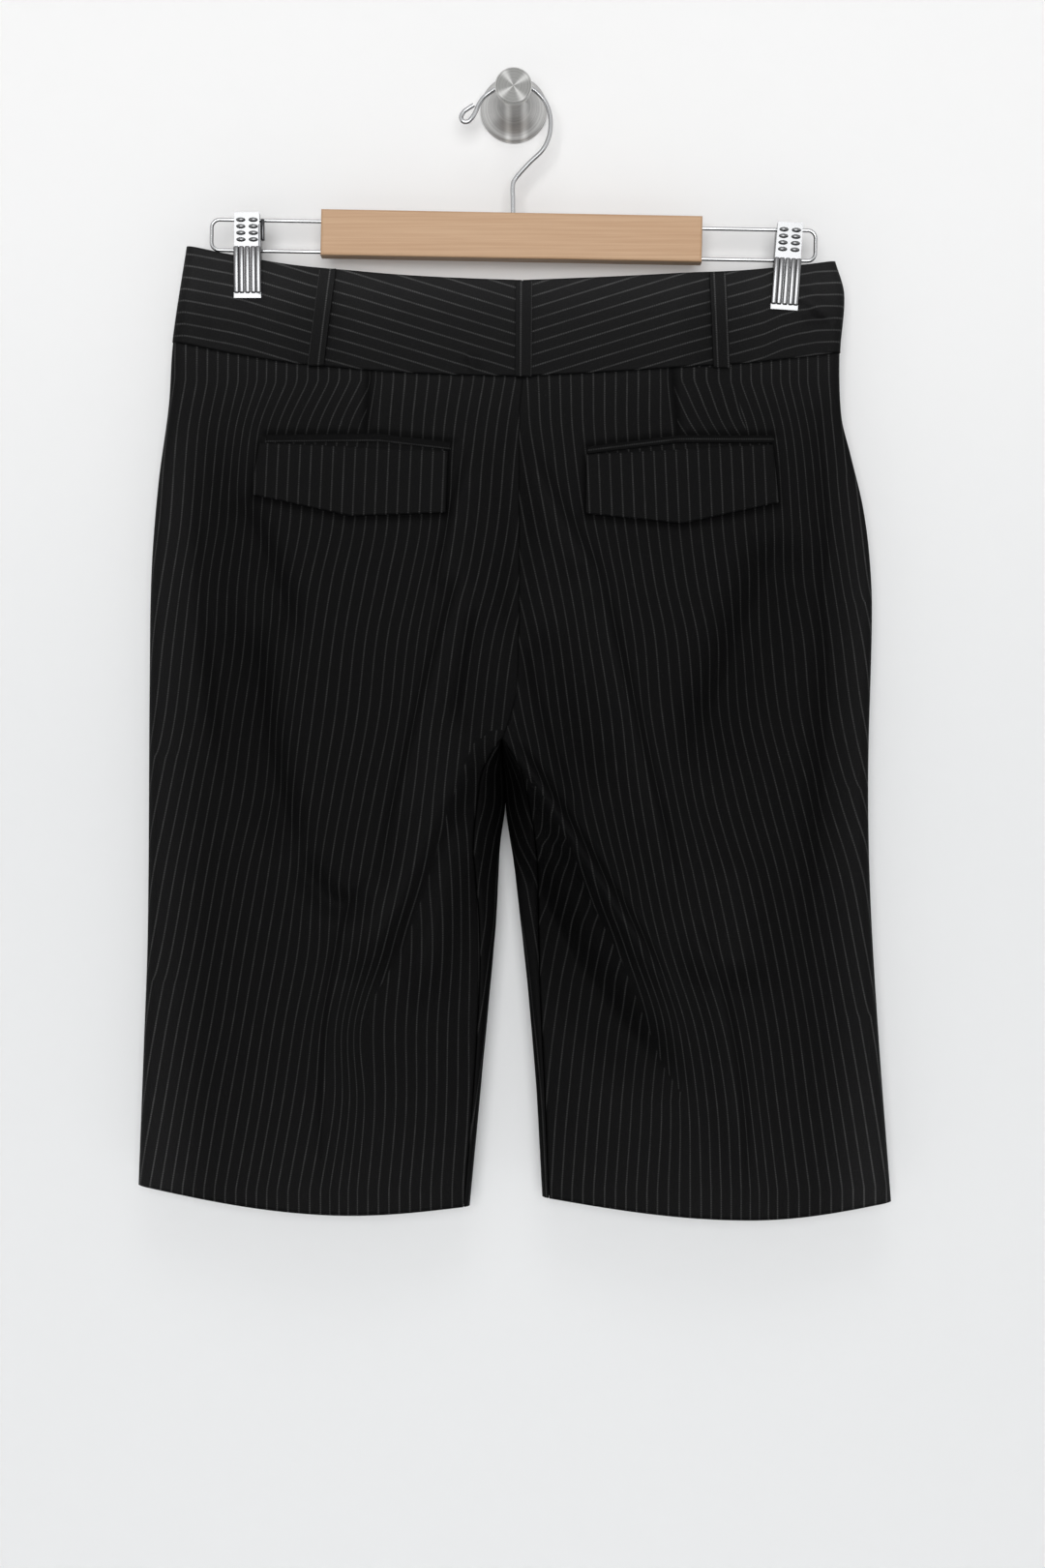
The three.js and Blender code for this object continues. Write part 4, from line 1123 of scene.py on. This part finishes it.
def steel_material(brushed):
    """Turned and brushed steel: fine rings round the knob's axis, with the bright rays of their reflection
    painted into its colour as painted highlights.
    """
    material, tree, shader = new_material("brushed_steel")
    across, depth, up = add_node(tree, "ShaderNodeSeparateXYZ", {0: object_place(tree)}).outputs
    squares = [math_node(tree, "POWER", side, 2.0) for side in (across, up)]
    radius = math_node(tree, "SQRT", math_node(tree, "ADD", *squares))
    rings = add_node(tree, "ShaderNodeCombineXYZ", {0: radius, 1: depth}).outputs[0]
    scratches = add_node(tree, "ShaderNodeGroup", node_tree=brushed)
    set_inputs(tree, scratches, {"Place": rings, "Scale": 1500.0})
    scratch = scratches.outputs[0]
    # Painted highlight: four bright rays from the front's middle
    on_front = math_node(tree, "LESS_THAN", depth, -0.0485)
    angle = math_node(tree, "ARCTAN2", up, across)
    turns = math_node(tree, "ADD", math_node(tree, "MULTIPLY", angle, 2.0), 0.35)
    sine = math_node(tree, "ABSOLUTE", math_node(tree, "SINE", turns))
    front_painted_rays = math_node(tree, "POWER", sine, 9.0)
    # Painted highlight: two soft streaks on the foot below its middle
    from_middle = math_node(tree, "ABSOLUTE", math_node(tree, "SUBTRACT", across, 0.0015))
    from_streak = math_node(tree, "ABSOLUTE", math_node(tree, "SUBTRACT", from_middle, 0.0048))
    painted_streak = map_range(tree, from_streak, 0.0032, 0.0, 0.0, 0.6, "SMOOTHSTEP")
    foot_painted_streaks = math_node(tree, "MULTIPLY", painted_streak, math_node(tree, "LESS_THAN", up, 0.0))
    painted_rays = add_node(tree, "ShaderNodeMix", {0: on_front, 2: foot_painted_streaks, 3: front_painted_rays}).outputs[0]
    tone = map_range(tree, scratch, 0.3, 0.7, 0.0, 0.45)
    light = math_node(tree, "ADD", tone, math_node(tree, "MULTIPLY", painted_rays, 0.75), clamp=True)
    # Painted shade: the front is given a darker steel than the foot, against the key light's reflection
    dull = mix_colours(tree, on_front, (0.21, 0.207, 0.203), (0.075, 0.075, 0.072))
    bright = mix_colours(tree, on_front, (0.75, 0.75, 0.74), (0.25, 0.25, 0.245))
    # Painted highlight: a light ring round the edge of the front
    painted_rim = math_node(tree, "MULTIPLY", on_front, math_node(tree, "GREATER_THAN", radius, 0.01))
    face = mix_colours(tree, light, dull, bright)
    finish = {
        "Base Color": mix_colours(tree, painted_rim, face, (0.42, 0.42, 0.41)),
        "Normal": bump(tree, scratch, 0.25, 0.0001),
        "Metallic": 0.75,
        "Roughness": 0.42,
    }
    set_inputs(tree, shader, finish)
    return material


MATERIALS = {}


def finish_of(name, maker, *values):
    """A material, made once and then kept for the next piece."""
    if name not in MATERIALS:
        MATERIALS[name] = maker(*values)
    return MATERIALS[name]


def cloth():
    return finish_of("cloth", cloth_material, bpy.context.scene.shorts_cloth)


def chrome():
    return finish_of("chrome", plain_material, "chrome_wire", CHROME, 0.16, 1.0)


def clip_chrome():
    return finish_of("leaves", plain_material, "chrome_clips", CLIP_CHROME, 0.2, 1.0)


def relief_material():
    """Chrome with painted shade low down between what is pressed out of it."""
    material, tree, shader = new_material("chrome_relief")
    hollow = attribute(tree, "hollow")
    finish = {
        "Base Color": mix_colours(tree, hollow, CLIP_CHROME, (0.005, 0.005, 0.006)),
        "Metallic": 1.0,
        "Roughness": 0.2,
    }
    set_inputs(tree, shader, finish)
    return material


# Properties
COLOUR_KIND = {"subtype": "COLOR", "min": 0, "max": 1}


class ShortsClothSettings(bpy.types.PropertyGroup):
    cloth_colour: bpy.props.FloatVectorProperty(
        name="Cloth", description="Colour of the ground", default=(0.0046, 0.0046, 0.0047), **COLOUR_KIND
    )
    cloth_shade: bpy.props.FloatVectorProperty(
        name="Cloth shade",
        description="Darker tone between its threads",
        default=(0.0023, 0.0023, 0.0024),
        **COLOUR_KIND,
    )
    stripe_colour: bpy.props.FloatVectorProperty(
        name="Stripe", description="Colour of the pinstripes", default=(0.034, 0.034, 0.034), **COLOUR_KIND
    )
    stripe_width: bpy.props.FloatProperty(
        name="Stripe width", description="Width of a pinstripe in millimetres", min=0.2, max=3, default=0.85
    )


class ShortsHangerSettings(bpy.types.PropertyGroup):
    wood_colour: bpy.props.FloatVectorProperty(
        name="Wood",
        description="Colour of the bar's light grain",
        default=(0.511, 0.332, 0.201),
        **COLOUR_KIND,
    )
    wood_shade: bpy.props.FloatVectorProperty(
        name="Wood shade",
        description="Colour of its darker grain",
        default=(0.427, 0.257, 0.143),
        **COLOUR_KIND,
    )


class ShortsStageSettings(bpy.types.PropertyGroup):
    wall_colour: bpy.props.FloatVectorProperty(
        name="Wall",
        description="Colour of the wall and the floor",
        default=(0.803, 0.81, 0.816),
        **COLOUR_KIND,
    )
    # Painted light: the wall turns to this lighter colour towards its top
    wall_top_painted_light: bpy.props.FloatVectorProperty(
        name="Wall above",
        description="Colour of the wall above the hanger",
        default=(0.915, 0.913, 0.912),
        **COLOUR_KIND,
    )
    key_power: bpy.props.FloatProperty(
        name="Key light",
        description="Power of the large soft light",
        subtype="POWER",
        min=0,
        default=128.0,
    )
    sky_strength: bpy.props.FloatProperty(
        name="Room light", description="Strength of the even light of the room", min=0, default=0.22
    )
    mirrored_room: bpy.props.FloatProperty(
        name="Room in mirrors", description="How bright the room looks in metal", min=0, default=1.6
    )


# Pieces of cloth
PANEL_GRID = {"back": (196, 214), "front": (120, 140)}
BAND_GRID = (150, 40)


class SHORTS_OT_panels(bpy.types.Operator):
    """Make the two back and two front panels"""

    bl_idname = "shorts.panels"
    bl_label = "Panels"

    def execute(self, context):
        for layer, (columns, rows) in PANEL_GRID.items():
            for side in SIDES:
                points = panel_points(side, layer, columns, rows)
                x, z = points[..., 0], points[..., 2]
                tone, turned, turned_side = painted_light_and_shade_at(layer, x, z), None, -1.0
                if layer == "back":
                    grain = grain_of_back(side, points, GRAIN[side])
                    turned = grain_of_back(side, points, TURNED_GRAIN[side])
                    turned_side = within(TURNED[side], x, z)
                    # Painted shade along the lines round the flap and welt and along the dart
                    near = from_lines(painted_shade_lines(side), x, z) / EDGE_PAINTED_SHADE["reach"]
                    tone = (tone + 1) * (1 - EDGE_PAINTED_SHADE["loss"] * np.exp(-near**2)) - 1
                else:
                    grain = grain_of_front(side, points)
                name = f"{layer}_{side}"
                outward = LAYER_SIGN[layer]
                obj = cloth_shell(
                    f"cloth_{name}", points, grain, outward, PANEL, cloth(), tone, turned, turned_side
                )
                seat(obj, "pinstripe_cloth", name)
        return {"FINISHED"}


class SHORTS_OT_waistband(bpy.types.Operator):
    """Make the four quarters of the waistband"""

    bl_idname = "shorts.waistband"
    bl_label = "Waistband"

    def execute(self, context):
        for layer in LAYER_SIGN:
            for side in SIDES:
                points = band_points(side, layer, *BAND_GRID)
                x, z = points[..., 0], points[..., 2]
                stripe = np.interp(x, BAND_STRIPE[side]["x"], BAND_STRIPE[side]["z"])
                grain = ((stripe - z) / BAND_STRIPE_PITCH, run_along(points))
                name = f"waistband_{layer}_{side}"
                tone = painted_light_and_shade_at("band", x, z)
                obj = cloth_shell(
                    f"cloth_{name}", points, grain, LAYER_SIGN[layer], BAND, cloth(), tone
                )
                seat(obj, "pinstripe_cloth", name)
        return {"FINISHED"}


def mix_point(a, b, t):
    return lerp(a[0], b[0], t), lerp(a[1], b[1], t)


def bent_line(start, middle, end, u):
    """Places along two straight runs that meet in the middle."""
    first, second = mix_point(start, middle, u * 2), mix_point(middle, end, u * 2 - 1)
    return np.where(u < 0.5, first[0], second[0]), np.where(u < 0.5, first[1], second[1])


def on_layer(name, side, layer, under, place, lift, grid, grain, gain=0.0):
    """A piece that lies on a panel or a band, made from its points, moved out, and with its painted light
    and shade scaled by gain: a flap lighter, a welt darker.
    """
    u = np.linspace(0, 1, grid[0] + 1)[None, :] * np.ones((grid[1] + 1, 1))
    v = np.linspace(0, 1, grid[1] + 1)[:, None] * np.ones((1, grid[0] + 1))
    x, z = place(u, v)
    off = layer_at(side, layer, x, z) + under / 2 + TRIM / 2 + lift(u, v)
    points = np.stack([x, HANG_Y + LAYER_SIGN[layer] * off, z], axis=-1)
    tone = (painted_light_and_shade_at(layer, x, z) + 1) * (1 + gain) - 1
    obj = cloth_shell(f"cloth_{name}", points, grain(x, z, u, v), LAYER_SIGN[layer], TRIM, cloth(), tone)
    return seat(obj, "pinstripe_cloth", name)


class SHORTS_OT_pockets(bpy.types.Operator):
    """Make the flaps and the welts of the back pockets"""

    bl_idname = "shorts.pockets"
    bl_label = "Back pockets"

    def execute(self, context):
        for side, flap in FLAPS.items():

            def flap_place(u, v, flap=flap):
                top = mix_point(flap["top_outer"], flap["top_inner"], u)
                bottom = bent_line(flap["bottom_outer"], flap["tip"], flap["bottom_inner"], u)
                return mix_point(top, bottom, v)

            lean = SIDES[side]["sign"] * math.tan(FLAP_LEAN)
            obj = on_layer(
                f"pocket_flap_{side}",
                side,
                "back",
                PANEL,
                flap_place,
                lambda u, v: ON_PANEL + FLAP_SPRING * v,
                TRIM_GRID["flap"],
                lambda x, z, u, v, lean=lean: ((x + lean * (z + 225)) / PITCH + 0.3, -z),
                FLAP_PAINTED_LIGHT,
            )
            welt = WELTS[side]

            def welt_place(u, v, welt=welt):
                x, z = bent_line(welt["outer"], welt["middle"], welt["inner"], u)
                return x, z - v * WELT_HEIGHT

            obj = on_layer(
                f"pocket_welt_{side}",
                side,
                "back",
                PANEL,
                welt_place,
                lambda u, v: ON_PANEL + 0 * v,
                TRIM_GRID["welt"],
                lambda x, z, u, v, line=welt["line"]: ((v - line) * WELT_HEIGHT / PITCH, x),
                WELT_PAINTED_SHADE,
            )
        return {"FINISHED"}


class SHORTS_OT_loops(bpy.types.Operator):
    """Make the belt loops"""

    bl_idname = "shorts.loops"
    bl_label = "Belt loops"

    def execute(self, context):
        for name, layer, side, top, bottom, stripe in LOOPS:

            def loop_place(u, v, top=top, bottom=bottom):
                x, z = mix_point(top, bottom, v)
                return x + (u - 0.5) * LOOP_WIDTH, z

            obj = on_layer(
                name,
                side,
                layer,
                BAND,
                loop_place,
                lambda u, v: SEAM + LOOP_SLACK * np.sin(np.pi * v),
                TRIM_GRID["loop"],
                lambda x, z, u, v, stripe=stripe: ((u - stripe) * LOOP_WIDTH / PITCH, -z),
            )
        return {"FINISHED"}


class SHORTS_OT_closure(bpy.types.Operator):
    """Make the waistband's tab"""

    bl_idname = "shorts.closure"
    bl_label = "Tab and button"

    def execute(self, context):
        def tab_place(u, v):
            x = lerp(TAB["right"], TAB["left"], u)
            return x, lerp(TAB["top"], TAB["bottom"], v) - TAB["slant"] * u * (1 - v)

        obj = on_layer(
            "waistband_tab",
            "right",
            "front",
            BAND,
            tab_place,
            lambda u, v: ON_PANEL + 0 * v,
            TRIM_GRID["tab"],
            lambda x, z, u, v: (-z / PITCH, x),
        )
        return {"FINISHED"}


# Hanger
class SHORTS_OT_hanger(bpy.types.Operator):
    """Finish the wooden bar, the clips' leaves and the button"""

    bl_idname = "shorts.hanger"
    bl_label = "Hanger"

    def execute(self, context):
        wood = finish_of("wood", wood_material, context.scene.shorts_hanger)
        horn = finish_of("button", plain_material, "button", (0.012, 0.012, 0.013), 0.25)
        finishes = {"hanger_bar": ("light_wood", wood), "waist_button": ("button", horn)}
        for name in FRAME["nodes"]:
            if name.startswith("clip_"):
                finishes[name] = ("chrome_wire", clip_chrome())
        for name, (slot, material) in finishes.items():
            node = FRAME["nodes"][name]
            node.data.materials.clear()
            node.data.materials.append(material)
        return {"FINISHED"}


class SHORTS_OT_hook(bpy.types.Operator):
    """Make the wire hook with the eye at its end"""

    bl_idname = "shorts.hook"
    bl_label = "Hook"

    def execute(self, context):
        hook = wire("steel_hook", smooth_run(HOOK_PATH, HOOK_STEPS), HOOK_WIRE, chrome())
        seat(hook, "chrome_wire", "hanger_hook")
        return {"FINISHED"}


def loop_places(sign):
    """The way of a wire loop: out of the bar, round two corners and back into it."""
    half, bend = WIRE["height"] / 2, WIRE["bend"]
    reach = WIRE["reach"] - sign * BAR["x"]
    turn = np.linspace(0, math.pi / 2, 9)
    corner = [(reach - bend + bend * math.sin(a), half - bend + bend * math.cos(a)) for a in turn]
    over = [(BAR["length"] / 2 - WIRE["in_bar"], half), *corner]
    under = [(u, -w) for u, w in reversed(over)]
    places = []
    for u, w in over + under:
        across, up = sign * u, w - WIRE["drop"]
        x = BAR["x"] + across * math.cos(TILT) - up * math.sin(TILT)
        places.append((x, BAR["z"] + across * math.sin(TILT) + up * math.cos(TILT)))
    return places


class SHORTS_OT_wires(bpy.types.Operator):
    """Make the two wire loops that carry the clips"""

    bl_idname = "shorts.wires"
    bl_label = "Wire loops"

    def execute(self, context):
        for side, s in SIDES.items():
            loop = wire(f"steel_loop_{side}", loop_places(s["sign"]), WIRE["radius"], chrome())
            seat(loop, "chrome_wire", f"hanger_wire_{side}")
        return {"FINISHED"}


class SHORTS_OT_knob(bpy.types.Operator):
    """Make the turned wall knob"""

    bl_idname = "shorts.knob"
    bl_label = "Wall knob"

    def execute(self, context):
        deselect()
        first, _ = KNOB_PROFILE[0]
        bpy.ops.mesh.primitive_circle_add(
            vertices=KNOB_SIDES, radius=first * MM, rotation=(math.pi / 2, 0, 0)
        )
        obj = bpy.context.object
        activate(obj)
        bpy.ops.object.transform_apply(location=True, rotation=True, scale=True)
        bpy.ops.object.mode_set(mode="EDIT")
        bpy.ops.mesh.select_all(action="SELECT")
        start, end = KNOB_NECK
        neck = (tuple(row) for row in smooth_run(KNOB_PROFILE[start:end], KNOB_STEPS))
        profile = [*KNOB_PROFILE[:start], *neck, *KNOB_PROFILE[end:]]
        for (before, from_depth), (after, to_depth) in zip(profile, profile[1:]):
            step = (0, -(to_depth - from_depth) * MM, 0)
            bpy.ops.mesh.extrude_region_move(TRANSFORM_OT_translate={"value": step})
            grow = after / before
            bpy.ops.transform.resize(value=(grow, 1, grow), center_override=(0, -to_depth * MM, 0))
        bpy.ops.object.mode_set(mode="OBJECT")
        close_ends(obj, KNOB_SIDES)
        brushed = finish_of("brushed", brushed_group)
        settle(obj, "steel_knob", finish_of("steel", steel_material, brushed), 25)
        seat(obj, "brushed_steel", "wall_knob")
        return {"FINISHED"}


def clip_relief(side):
    """The ribs and bumps pressed into a clip's front leaf, and the ear that holds it on the wire."""
    clip = SIDES[side]["clip"]
    height = clip["top"] - clip["bottom"]
    pieces = []
    for x in CLIP_RIBS["places"]:
        size = (CLIP_RIBS["width"], CLIP_RIBS["depth"], CLIP_RIBS["length"])
        rib = box(size, (x, CLIP_RIBS["y"], CLIP_RIBS["foot"] + CLIP_RIBS["length"] / 2))
        pieces.append(rounded(rib, CLIP_RIBS["round"], 4))
    for x in CLIP_BUMPS["columns"]:
        for row in range(CLIP_BUMPS["rows"]):
            z = height - CLIP_BUMPS["below_top"] - row * CLIP_BUMPS["pitch"]
            place = [k * MM for k in (x, CLIP_BUMPS["y"], z)]
            bpy.ops.mesh.primitive_uv_sphere_add(segments=24, ring_count=12, radius=MM, location=place)
            bpy.context.object.scale = CLIP_BUMPS["size"]
            bpy.ops.object.transform_apply(location=False, rotation=False, scale=True)
            pieces.append(bpy.context.object)
    if side == "left":
        ear = CLIP_EAR
        size = (ear["width"], ear["depth"], ear["height"])
        place = (ear["x"], ear["y"], height - ear["below_top"])
        pieces.append(rounded(box(size, place), ear["round"], 2))
        edge = CLIP_FLANGE
        place = (edge["x"], edge["y"], edge["foot"] + edge["length"] / 2)
        pieces.append(box((edge["width"], edge["depth"], edge["length"]), place))
    relief = join(pieces)
    bpy.context.scene.cursor.location = (0, 0, 0)
    bpy.ops.object.origin_set(type="ORIGIN_CURSOR")
    # Painted shade: the relief's low parts get a darker colour, less of it on the ear
    top, foot = CLIP_PAINTED_SHADE
    ear_foot = CLIP_EAR["x"] - CLIP_EAR["width"] / 2
    hollow = []
    for vertex in relief.data.vertices:
        across, out = vertex.co.x / MM, -vertex.co.y / MM
        dark = min(max((top - out) / (top - foot), 0), 1)
        hollow.append(dark * CLIP_EAR["hollow"] if across > ear_foot else dark)
    relief.data.attributes.new("hollow", "FLOAT", "POINT").data.foreach_set("value", hollow)
    tilt = math.atan2(CLIP_FACE["thumb"] - CLIP_FACE["jaw"], height)
    lean = math.radians(clip["lean"])
    relief.rotation_euler = (tilt, lean, 0)
    relief.location = [k * MM for k in (clip["x"], HANG_Y - CLIP_FACE["jaw"], clip["bottom"])]
    return settle(relief, f"clip_{side}_relief", finish_of("relief", relief_material), 40)


class SHORTS_OT_clips(bpy.types.Operator):
    """Make what is pressed into the clips"""

    bl_idname = "shorts.clips"
    bl_label = "Clips"

    def execute(self, context):
        for side in SIDES:
            relief = clip_relief(side)
            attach(relief, "root")
        return {"FINISHED"}


# Stage
def soft_light(name, place, aim, size, power):
    data = bpy.data.lights.new(name, "AREA")
    data.shape = "DISK"
    data.size = size
    data.energy = power
    light = bpy.data.objects.new(name, data)
    light.location = place
    light.rotation_euler = (Vector(aim) - Vector(place)).to_track_quat("-Z", "Y").to_euler()
    bpy.context.scene.collection.objects.link(light)


def wall_material(settings):
    """Pale paint that is seen through from behind and stops no light from there."""
    material, tree, shader = new_material("pale_wall")
    up = add_node(tree, "ShaderNodeSeparateXYZ", {0: object_place(tree)}).outputs[1]
    # Painted light: the wall grows lighter towards its top
    rise = map_range(tree, up, -0.25, 0.27, kind="SMOOTHSTEP")
    finish = {
        "Base Color": mix_colours(tree, rise, settings.wall_colour, settings.wall_top_painted_light),
        "Roughness": 0.9,
        "Specular IOR Level": 0.2,
    }
    set_inputs(tree, shader, finish)
    clear = add_node(tree, "ShaderNodeBsdfTransparent").outputs[0]
    behind = add_node(tree, "ShaderNodeNewGeometry").outputs["Backfacing"]
    mixed = add_node(tree, "ShaderNodeMixShader", {0: behind, 1: shader.outputs[0], 2: clear})
    tree.links.new(mixed.outputs[0], tree.nodes["Material Output"].inputs["Surface"])
    return material


class SHORTS_OT_stage(bpy.types.Operator):
    """Make the wall, the floor, the lights and the camera"""

    bl_idname = "shorts.stage"
    bl_label = "Stage"

    def execute(self, context):
        settings = context.scene.shorts_stage
        deselect()
        pale = finish_of("wall", wall_material, settings)
        for name, place, turn in (
            ("wall", (0, 0.0006, -0.2), (math.pi / 2, 0, 0)),
            ("floor", (0, 0, -1.3), (0, 0, 0)),
        ):
            bpy.ops.mesh.primitive_plane_add(size=6, location=place, rotation=turn)
            plane = context.object
            plane.name = name
            plane.data.materials.append(pale)
        world = bpy.data.worlds.new("room")
        world.use_nodes = True
        tree = world.node_tree
        sky = tree.nodes["Background"]
        sky.inputs[0].default_value = (1.0, 1.0, 1.0, 1)
        mirrored = add_node(tree, "ShaderNodeLightPath").outputs["Is Glossy Ray"]
        strength = map_range(tree, mirrored, 0.0, 1.0, settings.sky_strength, settings.mirrored_room)
        tree.links.new(strength, sky.inputs[1])
        context.scene.world = world
        middle = (0, -0.03, -0.36)
        soft_light("key", (-0.1, -4.4, -0.3), middle, 2.2, settings.key_power)
        soft_light("top", (0, -1.6, 1.6), middle, 1.2, settings.key_power * 0.05)
        data = bpy.data.cameras.new("camera")
        data.lens = CAMERA["lens"]
        data.sensor_width = CAMERA["sensor"]
        camera = bpy.data.objects.new("camera", data)
        camera.location = CAMERA["place"]
        camera.rotation_euler = (math.pi / 2, 0, 0)
        context.scene.collection.objects.link(camera)
        context.scene.camera = camera
        context.scene.view_settings.view_transform = "Standard"
        return {"FINISHED"}


class SHORTS_PT_sidebar(bpy.types.Panel):
    """Lists the shorts' settings and pieces"""

    bl_idname = "SHORTS_PT_sidebar"
    bl_label = "Hanging shorts"
    bl_space_type = "VIEW_3D"
    bl_region_type = "UI"
    bl_category = "Shorts"

    def draw(self, context):
        for name, kind in SETTINGS.items():
            box = self.layout.box()
            for key in kind.__annotations__:
                box.prop(getattr(context.scene, name), key)
        for operator in OPERATORS:
            self.layout.operator(operator.bl_idname)


SETTINGS = {
    "shorts_cloth": ShortsClothSettings,
    "shorts_hanger": ShortsHangerSettings,
    "shorts_stage": ShortsStageSettings,
}
OPERATORS = (
    SHORTS_OT_waistband,
    SHORTS_OT_panels,
    SHORTS_OT_pockets,
    SHORTS_OT_loops,
    SHORTS_OT_closure,
    SHORTS_OT_hanger,
    SHORTS_OT_hook,
    SHORTS_OT_wires,
    SHORTS_OT_knob,
    SHORTS_OT_clips,
    SHORTS_OT_stage,
)


def register():
    for kind in (*SETTINGS.values(), *OPERATORS, SHORTS_PT_sidebar):
        bpy.utils.register_class(kind)
    for name, kind in SETTINGS.items():
        setattr(bpy.types.Scene, name, bpy.props.PointerProperty(type=kind))


def unregister():
    for name in SETTINGS:
        delattr(bpy.types.Scene, name)
    for kind in (SHORTS_PT_sidebar, *reversed(OPERATORS), *SETTINGS.values()):
        bpy.utils.unregister_class(kind)


def main():
    register()
    for operator in OPERATORS:
        _, call = operator.bl_idname.split(".")
        getattr(bpy.ops.shorts, call)()


if __name__ == "__main__":
    main()
